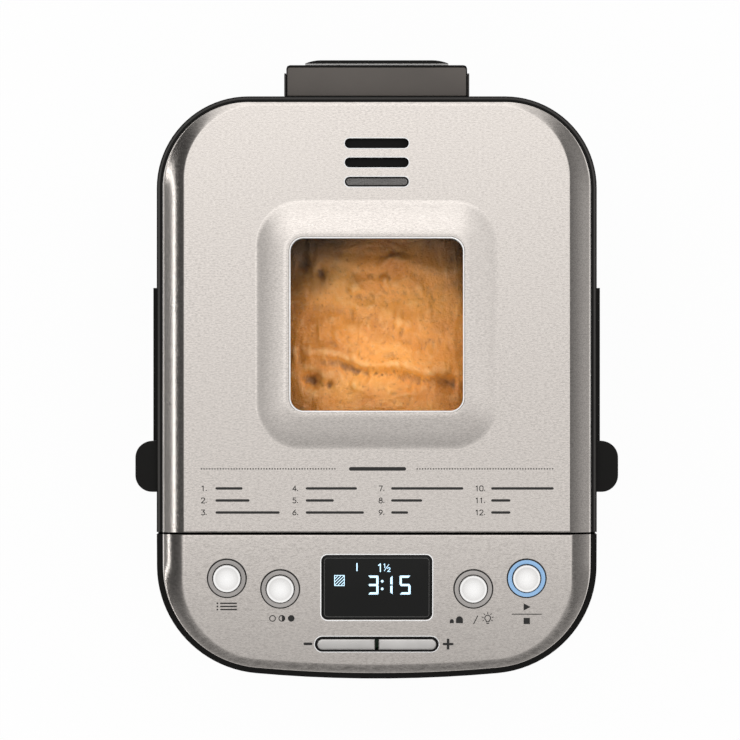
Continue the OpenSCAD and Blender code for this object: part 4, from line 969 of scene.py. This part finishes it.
def build_readout():
    """Lit digits and small symbols on the display."""
    marks = Marks(PANEL_FRAME, 0.0, 0.03 * MM)
    bottom, top = panel_mm(369, 594)[1], panel_mm(369, 575)[1]
    for char, left, right in (("3", 368, 378.5), ("1", 383, 392.5), ("5", 399.5, 410.5)):
        x0, x1 = panel_mm(left, 0)[0], panel_mm(right, 0)[0]
        segment_digit(marks, char, x0, bottom, x1 - x0, top - bottom, 1.35)
    colon = panel_mm(381.6, 0)[0] + 0.35
    for share in (0.3, 0.7):
        marks.disc(colon, bottom + (top - bottom) * share, 0.8, 14)
    (x, y0), (_, y1) = panel_mm(357, 570.5), panel_mm(357, 562.5)
    marks.bar(x - 0.35, y0, x + 0.35, y1)
    # One and a half
    x, y = panel_mm(377.5, 571)
    marks.number("1", x, y, 4.6, 0.62)
    marks.number("1", x + 3.5, y + 2.3, 2.3, 0.4)
    marks.stroke([(x + 4.0, y + 0.4), (x + 6.8, y + 4.4)], 0.34)
    marks.number("2", x + 6.0, y, 2.3, 0.4)
    # A hatched box
    x, y = panel_mm(339.5, 580)
    marks.shape(*(box_points(x - w, y - h, x + w, y + h) for w, h in ((3.1, 3.3), (2.7, 2.9))))
    reach = 2.6
    for i in range(-2, 3):
        c = i * 1.9
        low, high = max(-reach, -reach - c), min(reach, reach - c)
        marks.stroke([(x + low, y + low + c), (x + high, y + high + c)], 0.42)
    marks.done("display_readout", LCD_LIGHT, "display_black", "body")


# ---------- dough, hinge, grille and edges ----------


# Creases across the dough: place and slope in plan, half width and depth of each
CREASES = [(-0.026, -0.165, 0.0046, 1.5), (0.004, -0.30, 0.006, 0.8), (0.022, 0.16, 0.008, 0.9),
           (0.036, -0.10, 0.005, 0.8)]
# Torn hollows: place in plan, radius and depth
HOLLOWS = [(-0.040, -0.033, 0.0046, 7.0), (-0.029, -0.036, 0.0022, 3.5), (-0.047, -0.016, 0.0022, 3.0),
           (-0.034, 0.032, 0.0035, 4.5), (-0.045, 0.038, 0.005, 4.5), (0.046, -0.034, 0.006, 4.0)]
DOUGH_R = 20.3 * MM                  # corner radius at the pan's wall
DOUGH_SAG = 13 * MM                  # how far the top falls off at the wall
DOUGH_STEPS = 100


def bumps(x, y, layer):
    return noise.noise(Vector((x, y, layer)))


def dough_height(x, y, inset):
    """Risen dough: the crown of its solid with folds, long creases, torn hollows, pits and small blisters."""
    crown = 1 - math.exp(-inset / (9 * MM))
    folds = noise.fractal(Vector((x * 26, y * 26, 0.7)), 0.9, 2.1, 6)
    wrinkles = 1 - abs(bumps(x * 52 + 2 * folds, y * 60, 5.0))
    crease = torn = 0
    for cy, slope, width, depth in CREASES:
        d = (y - cy - slope * x - 0.005 * bumps(x * 40, cy * 300, 2.0)) / width
        crease += depth * d * math.exp(-d * d)
    for hx, hy, r, depth in HOLLOWS:
        ragged = 1 + 0.6 * bumps(x * 150, y * 150, hx * 100)
        torn += depth * math.exp(-((x - hx) ** 2 + (y - hy) ** 2) / (r * ragged) ** 2)
    pits = bumps(x * 230, y * 230, 4.0)
    blister = max(0.0, bumps(x * 110, y * 110, 9.0) - 0.3)
    relief = folds * 2.2 + crease * 2.6 + pits * 0.45 + blister * 4.0 + (wrinkles - 0.8) * 1.6 - torn
    return -DOUGH_SAG * (1 - crown) + crown * relief * MM


def build_dough():
    """Surface of the dough over its whole solid, in rings that close in from the pan's wall."""
    low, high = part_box("dough")
    w, d = high[0] - low[0], high[1] - low[1]
    cy = (low[1] + high[1]) / 2
    top = high[2] - 1.5 * MM
    bm = bmesh.new()

    def ring(inset, r, z):
        return add_ring(bm, rounded_ring(w - 2 * inset, d - 2 * inset, r, cy, n=30, side=36), z)

    rings = [ring(inset, DOUGH_R, z) for z, inset in
             ((low[2] + 1 * MM, 3 * MM), (low[2] + 5 * MM, 0.5 * MM), (high[2] - 60 * MM, 0.3 * MM))]
    for k in range(DOUGH_STEPS):
        inset = (w / 2 - 0.6 * MM) * (k / DOUGH_STEPS) ** 1.15 + 0.3 * MM
        r = min(max(DOUGH_R - inset, 0.2 * MM), w / 2 - inset - 0.01 * MM)
        rings.append(ring(inset, r, lambda x, y, i=inset: top + dough_height(x, y - cy, i)))
    stack(bm, rings)
    bm.faces.new(rings[0])
    bm.faces.new(rings[-1])
    piece = make_piece("dough_crown", bm, DOUGH, "pan", "dough", 180)
    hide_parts("dough")


TONGUE_Z = TOP_Z - SHOULDER_H - 1.65 * MM
TONGUE_HALF = 53.6 * MM
TONGUE_REAR = 181.4 * MM
TONGUE_FRONT = REAR_Y + 0.3 * MM


def build_tongue():
    """Satin skin of the hinge tongue, greyer than black as painted reflection, held in a dark rolled frame with
    a half-round lip on each side, the lips lighter as painted highlight.
    """
    bm = bmesh.new()
    profile = [(TONGUE_FRONT, -4.0), (TONGUE_FRONT, -0.4), (TONGUE_FRONT + 0.15 * MM, -0.1),
               (TONGUE_FRONT + 0.5 * MM, 0.0), (TONGUE_REAR, 0.0), (TONGUE_REAR, -6.0)]
    strip(bm, [[(TONGUE_HALF * k / 12, y, TONGUE_Z + z * MM) for y, z in profile] for k in range(-12, 13)])
    make_piece("hinge_tongue_skin", bm, TONGUE, "lid", "hinge_plastic", 40)

    bm = bmesh.new()
    paths = []
    for grow, rise in ((0.0, 0.0), (0.1, 0.18), (0.4, 0.24), (0.7, 0.12), (0.85, -0.3), (0.85, -7.0)):
        x, y, r = TONGUE_HALF + grow * 0.8 * MM, TONGUE_REAR + grow * 1.7 * MM, (1.6 + grow) * MM
        path = [(x, TONGUE_FRONT), (x, y - r)] + arc(x - r, y - r, r, 0, 90, 8)[1:]
        path += arc(r - x, y - r, r, 90, 180, 8) + [(-x, TONGUE_FRONT)]
        paths.append([(px, py, TONGUE_Z + rise * MM) for px, py in path])
    strip(bm, paths)
    make_piece("hinge_tongue_frame", bm, BLACK, "lid", "black_plastic", 50)

    bm = bmesh.new()
    lip_r, lip_end, sunk = 0.62 * MM, 178.0 * MM, 2 * MM
    # Places along a lip and the share of its height there: it sinks into the frame at its end
    lip = [(TONGUE_FRONT, 1), (lip_end - 1.6 * MM, 1), (lip_end - 0.7 * MM, 0.85), (lip_end, 0.3)]
    z = TONGUE_Z - 0.6 * MM
    for x in (-TONGUE_HALF - 1.35 * MM, TONGUE_HALF + 1.35 * MM):
        strip(bm, [[(x + lip_r * math.cos(a), y, z + lip_r * math.sin(a) * share - (1 - share) * sunk)
                    for y, share in lip] for a in angles(0, 180, 8)])
    make_piece("hinge_lips", bm, RIM_PAINTED_HIGHLIGHT, "lid", "black_plastic", 60)


def build_crest():
    """Dark crest of the fixed hinge housing behind the tongue, with a pale strip in front of it: painted light
    where the gap there shows bright.
    """
    flat, foot = 33.5 * MM, 43.0 * MM       # half the length of its straight top and of its foot
    rear, front = 185.8 * MM, 183.9 * MM
    z = TONGUE_Z - 0.4 * MM
    curve = [(foot - (foot - flat) * t, front + (rear - front) * (1 - (1 - t) ** 2))
             for t in (0.2, 0.4, 0.6, 0.8, 1)]
    outline = [(-foot, front), (foot, front)] + curve + [(-x, y) for x, y in reversed(curve)]
    bm = bmesh.new()
    cy = (rear + front) / 2
    rings = []
    for size, drop in ((1.0, 6.0), (1.0, 0.25), (0.97, 0.06), (0.91, 0.0)):
        rings.append(add_ring(bm, [(x * size, cy + (y - cy) * size) for x, y in outline], z - drop * MM))
    stack(bm, rings)
    fill(bm, rings[-1])
    make_piece("hinge_crest", bm, BLACK, "body", "hinge_plastic", 40)
    # Pale strip: painted light in the gap before the crest
    seam = Marks(LEVEL, z - 0.9 * MM, 0.3 * MM)
    seam.bar(-foot / MM, 182.7, foot / MM, front / MM)
    seam.done("hinge_seam", SEAM_PAINTED_LIGHT, "hinge_plastic", "lid")


def build_grille():
    """Plate under the steam slots, open under two of them, with woven wire showing in the third."""
    low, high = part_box("steam_mesh")
    plate = Marks(LEVEL, low[2], 0.45 * MM)
    plate.shape(box_points(*(v / MM for v in (low[0], low[1], high[0], high[1]))),
                *[[(x / MM, y / MM) for x, y in slot_ring(i, 0)] for i in range(2)])
    piece = plate.done("steam_plate", BLACK, "lid_liner_metal", "lid")
    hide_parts("steam_mesh")
    y = (SLOT_Y - 2 * SLOT_PITCH) / MM
    r = SLOT_W / MM / 2 - 0.8
    straight = (SLOT_L - SLOT_W) / MM / 2
    half = straight + r
    back = Marks(LEVEL, low[2] + 0.45 * MM, 0.1 * MM)
    back.pill(-half, half, y, 2 * r)
    back.done("steam_grille_back", GRILLE_BACK, "lid_liner_metal", "lid")
    wires = Marks(LEVEL, low[2] + 0.6 * MM, 0.4 * MM)
    across, along, wire_r = 40, 5, 0.2
    for i in range(1, across):
        x = -half + 2 * half * i / across
        over = max(0.0, abs(x) - straight)
        deep = math.sqrt(max(0.0, r * r - over * over))
        wires.bar(x - wire_r, y - deep, x + wire_r, y + deep)
    for i in range(along):
        v = -r + 2 * r * (i + 0.5) / along
        reach = straight + math.sqrt(r * r - v * v)
        wires.bar(-reach, y + v - wire_r, reach, y + v + wire_r)
    wires.done("steam_grille_wires", MESH_GREY, "lid_liner_metal", "lid")


def build_ducts():
    """Closed black tubs under the two open steam slots."""
    bm = bmesh.new()
    # How far the wall lies outside the slot, both sides together, and how deep, in millimetres
    wall = ((3.4, 2.1), (3.4, 6.0), (2.2, 7.2), (1.2, 6.4), (2.2, 5.2), (2.2, 2.1))
    for i in range(2):
        rings = [add_ring(bm, slot_ring(i, grow * MM), TOP_Z - drop * MM) for grow, drop in wall]
        stack(bm, rings + rings[:1])
        fill(bm, add_ring(bm, slot_ring(i, 1.6 * MM), TOP_Z - 6.3 * MM))
    make_piece("steam_ducts", bm, BLACK, "lid", "black_plastic", 40)


def build_rim_bead():
    """Soft rounded crest along the lid's black rim, in a lighter plastic as painted highlight."""
    bm = bmesh.new()
    z, crest = TOP_Z - SHOULDER_H - 0.5 * MM, 0.55 * MM
    paths = []
    for k in range(9):
        side = -RIM_W + 0.15 * MM + k / 8 * (RIM_W - 0.5 * MM)
        height = z + crest * math.sin(math.pi * (k / 8) ** 0.55) ** 0.6
        paths.append([(x, y, height) for x, y in lid_ring(side, side, 0)[:-GAP_STEPS + 1]])
    strip(bm, paths)
    make_piece("lid_rim_crest", bm, RIM_PAINTED_HIGHLIGHT, "lid", "black_plastic", 60)


def build_foot_beads():
    """Rolled edge at the foot of both steel covers, pale as painted highlight; the lid's stops at the hinge."""
    r = 0.45 * MM

    def bead_paths(ring, top):
        paths = []
        for a in angles(0, 180, 6):
            side = 0.05 * MM - r * math.cos(a)
            paths.append([(x, y, top(x, y) - SHOULDER_H + 0.3 * MM + r * math.sin(a))
                          for x, y in ring(side, side, 0)[:-GAP_STEPS + 1]])
        return paths

    lid_paths = bead_paths(lid_ring, lid_top)
    bm = bmesh.new()
    for sign in (1, -1):
        arm = [i for i, (x, y) in enumerate(lid_ring(0, 0, 0)[:-GAP_STEPS + 1]) if sign * x > 53.5 * MM]
        strip(bm, [[path[i] for i in arm] for path in lid_paths])
    make_piece("lid_foot_bead", bm, FOOT_PAINTED_HIGHLIGHT, "lid", "brushed_cover", 60)
    bm = bmesh.new()
    strip(bm, bead_paths(panel_ring, panel_top))
    make_piece("panel_foot_bead", bm, FOOT_PAINTED_HIGHLIGHT, "body", "brushed_panel", 60)


def build_window_edge():
    """Rolled edge between the steel and the pane, and one round each steam slot, pale as painted highlight."""
    bm = bmesh.new()
    bead(bm, window_ring, -0.2 * MM, -0.55 * MM, TOP_Z + MOUND_H - 0.75 * MM, 0.44 * MM)
    for i in range(3):
        bead(bm, partial(slot_ring, i), 0.45 * MM, 0.32 * MM, TOP_Z - 0.05 * MM, 0.32 * MM)
    make_piece("window_edge_bead", bm, EDGE_PAINTED_HIGHLIGHT, "lid", "brushed_cover", 60)


# ---------- stage, lights and camera ----------


def build_stage():
    """Floor: a matt white sheet that looks plain white to the camera, through glass and in reflections."""
    bpy.ops.mesh.primitive_plane_add(size=9.0, location=(0, 0, -0.5 * MM))
    floor = bpy.context.object
    floor.name = "floor"
    n = Nodes("floor_white")
    n.set(Base_Color=(0.86, 0.86, 0.86), Roughness=0.9)
    path = n.add("LightPath").outputs
    through = n.math("MAXIMUM", path["Is Camera Ray"], path["Is Transmission Ray"])
    seen = n.math("MULTIPLY", n.math("MAXIMUM", through, path["Is Glossy Ray"]), 0.95)
    white = n.add("Emission", {"Strength": 1.0}).outputs[0]
    blend = n.add("MixShader", {0: seen, 1: n.shader.outputs[0], 2: white}).outputs[0]
    n.feed(n.tree.nodes["Material Output"].inputs["Surface"], blend)
    floor.data.materials.append(n.material)


# Brightness of each wall of the studio from the zenith (0) to the horizon (1)
LEFT_WALL = [(0, 0.74), (0.04, 0.80), (0.1, 1.16), (0.17, 1.08), (0.25, 0.78), (0.32, 0.64), (0.40, 0.52),
             (0.46, 0.16), (0.52, 0.10), (0.60, 0.065), (0.70, 0.045), (0.80, 0.03), (0.84, 0.05),
             (0.865, 0.17), (1, 0.19)]
RIGHT_WALL = [(0, 0.74), (0.04, 0.75), (0.1, 0.90), (0.2, 0.82), (0.3, 0.84), (0.42, 0.82), (0.47, 0.15),
              (0.56, 0.15), (0.67, 0.18), (0.78, 0.23), (0.86, 0.31), (0.9, 0.37), (1, 0.42)]
REAR_WALL = [(0, 0.74), (0.06, 0.97), (0.12, 1.10), (0.3, 1.06), (0.36, 0.95), (0.44, 0.7), (0.6, 0.6),
             (1, 0.7)]
FRONT_WALL = [(0, 0.74), (0.05, 0.66), (0.12, 0.70), (0.2, 0.58), (0.3, 0.58), (0.38, 0.54), (0.43, 0.32),
              (0.48, 0.10), (0.6, 0.10), (0.72, 0.42), (0.85, 0.6), (1, 0.6)]


def build_world():
    """Studio surround: white to the camera, light from above on matt surfaces. In reflections it has a bright
    overhead and rear wall, a grey right wall, a dark left wall, and a front wall that is dark halfway up."""
    world = bpy.data.worlds.new("studio")
    bpy.context.scene.world = world
    world.use_nodes = True
    n = Graph(world.node_tree)
    x, y, z = n.axes(n.add("TexCoord").outputs["Generated"])
    from_zenith = n.math("DIVIDE", n.math("ARCCOSINE", z), math.pi / 2)
    level = n.math("SQRT", n.math("ADD", n.math("MULTIPLY", x, x), n.math("MULTIPLY", y, y)))
    rearward = n.math("DIVIDE", y, level)
    walls = n.ramp(from_zenith, LEFT_WALL)
    for source, low, high, stops in ((x, -0.08, 0.08, RIGHT_WALL), (rearward, 0.6, 0.97, REAR_WALL),
                                     (rearward, -0.3, -0.75, FRONT_WALL)):
        walls = n.mix(n.span(source, 0, 1, low, high, "SMOOTHSTEP"), walls, n.ramp(from_zenith, stops))
    path = n.add("LightPath").outputs
    soft = n.ramp(z, [(0.0, 0.30), (0.5, 0.60), (1.0, 1.70)])
    seen = n.mix(path["Is Camera Ray"], n.mix(path["Is Diffuse Ray"], walls, soft), (1, 1, 1))
    background = n.tree.nodes["Background"].inputs
    n.feed(background["Color"], seen)
    n.feed(background["Strength"], 1.0)


def area_light(name, place, size, power, target=(0, 0, 0.3)):
    light = bpy.data.lights.new(name, "AREA")
    light.shape = "RECTANGLE"
    light.size, light.size_y = size
    light.energy = power
    lamp = bpy.data.objects.new(name, light)
    bpy.context.scene.collection.objects.link(lamp)
    lamp.location = place
    lamp.rotation_euler = (Vector(target) - Vector(place)).to_track_quat("-Z", "Y").to_euler()
    return lamp


def build_lights():
    area_light("key_softbox", (-0.25, 1.05, 1.75), (1.3, 0.9), 0.9)
    area_light("left_strip", (-1.7, 0.0, 0.76), (3.0, 0.10), 2.4)
    # Warm light on the dough, as through the window, from just under the inner pane
    x, y, z = 6 * MM, WINDOW_Y - 20 * MM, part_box("inner_pane")[0][2] - 5 * MM
    inside = area_light("chamber_glow", (x, y, z), (88 * MM, 60 * MM), 0.034, (x, y, 0))
    inside.data.color = (1.0, 0.93, 0.84)
    inside.visible_camera = False


CAMERA_HEIGHT = 3.0                  # above the rim's level
VIEW_SIZE = VIEW_PIXELS * PIXEL * MM        # width of the view at the rim's level


def build_camera():
    data = bpy.data.cameras.new("camera")
    camera = bpy.data.objects.new("camera", data)
    bpy.context.scene.collection.objects.link(camera)
    data.sensor_width = 36
    data.lens = data.sensor_width * CAMERA_HEIGHT / VIEW_SIZE
    data.clip_end = 50
    x, y = lid_point(VIEW_PIXELS / 2, VIEW_PIXELS / 2)
    camera.location = (x * MM, y * MM, TOP_Z - SHOULDER_H + CAMERA_HEIGHT)
    bpy.context.scene.camera = camera


dress_nodes()
build_camera()
build_lid_cover()
build_fascia()
build_rings("button_rings_lathe", BUTTONS[:3], RING_GREY, "ring_grey", "button_rings")
build_rings("start_ring_lathe", BUTTONS[3:], RING_BLUE, "ring_blue", "start_ring")
build_caps()
build_bezel()
build_keys()
build_display()
build_display_trim()
build_legend()
build_icons()
build_readout()
build_dough()
build_tongue()
build_crest()
build_grille()
build_ducts()
build_rim_bead()
build_foot_beads()
build_window_edge()
build_stage()
build_world()
build_lights()
bpy.context.scene.view_settings.view_transform = "Standard"
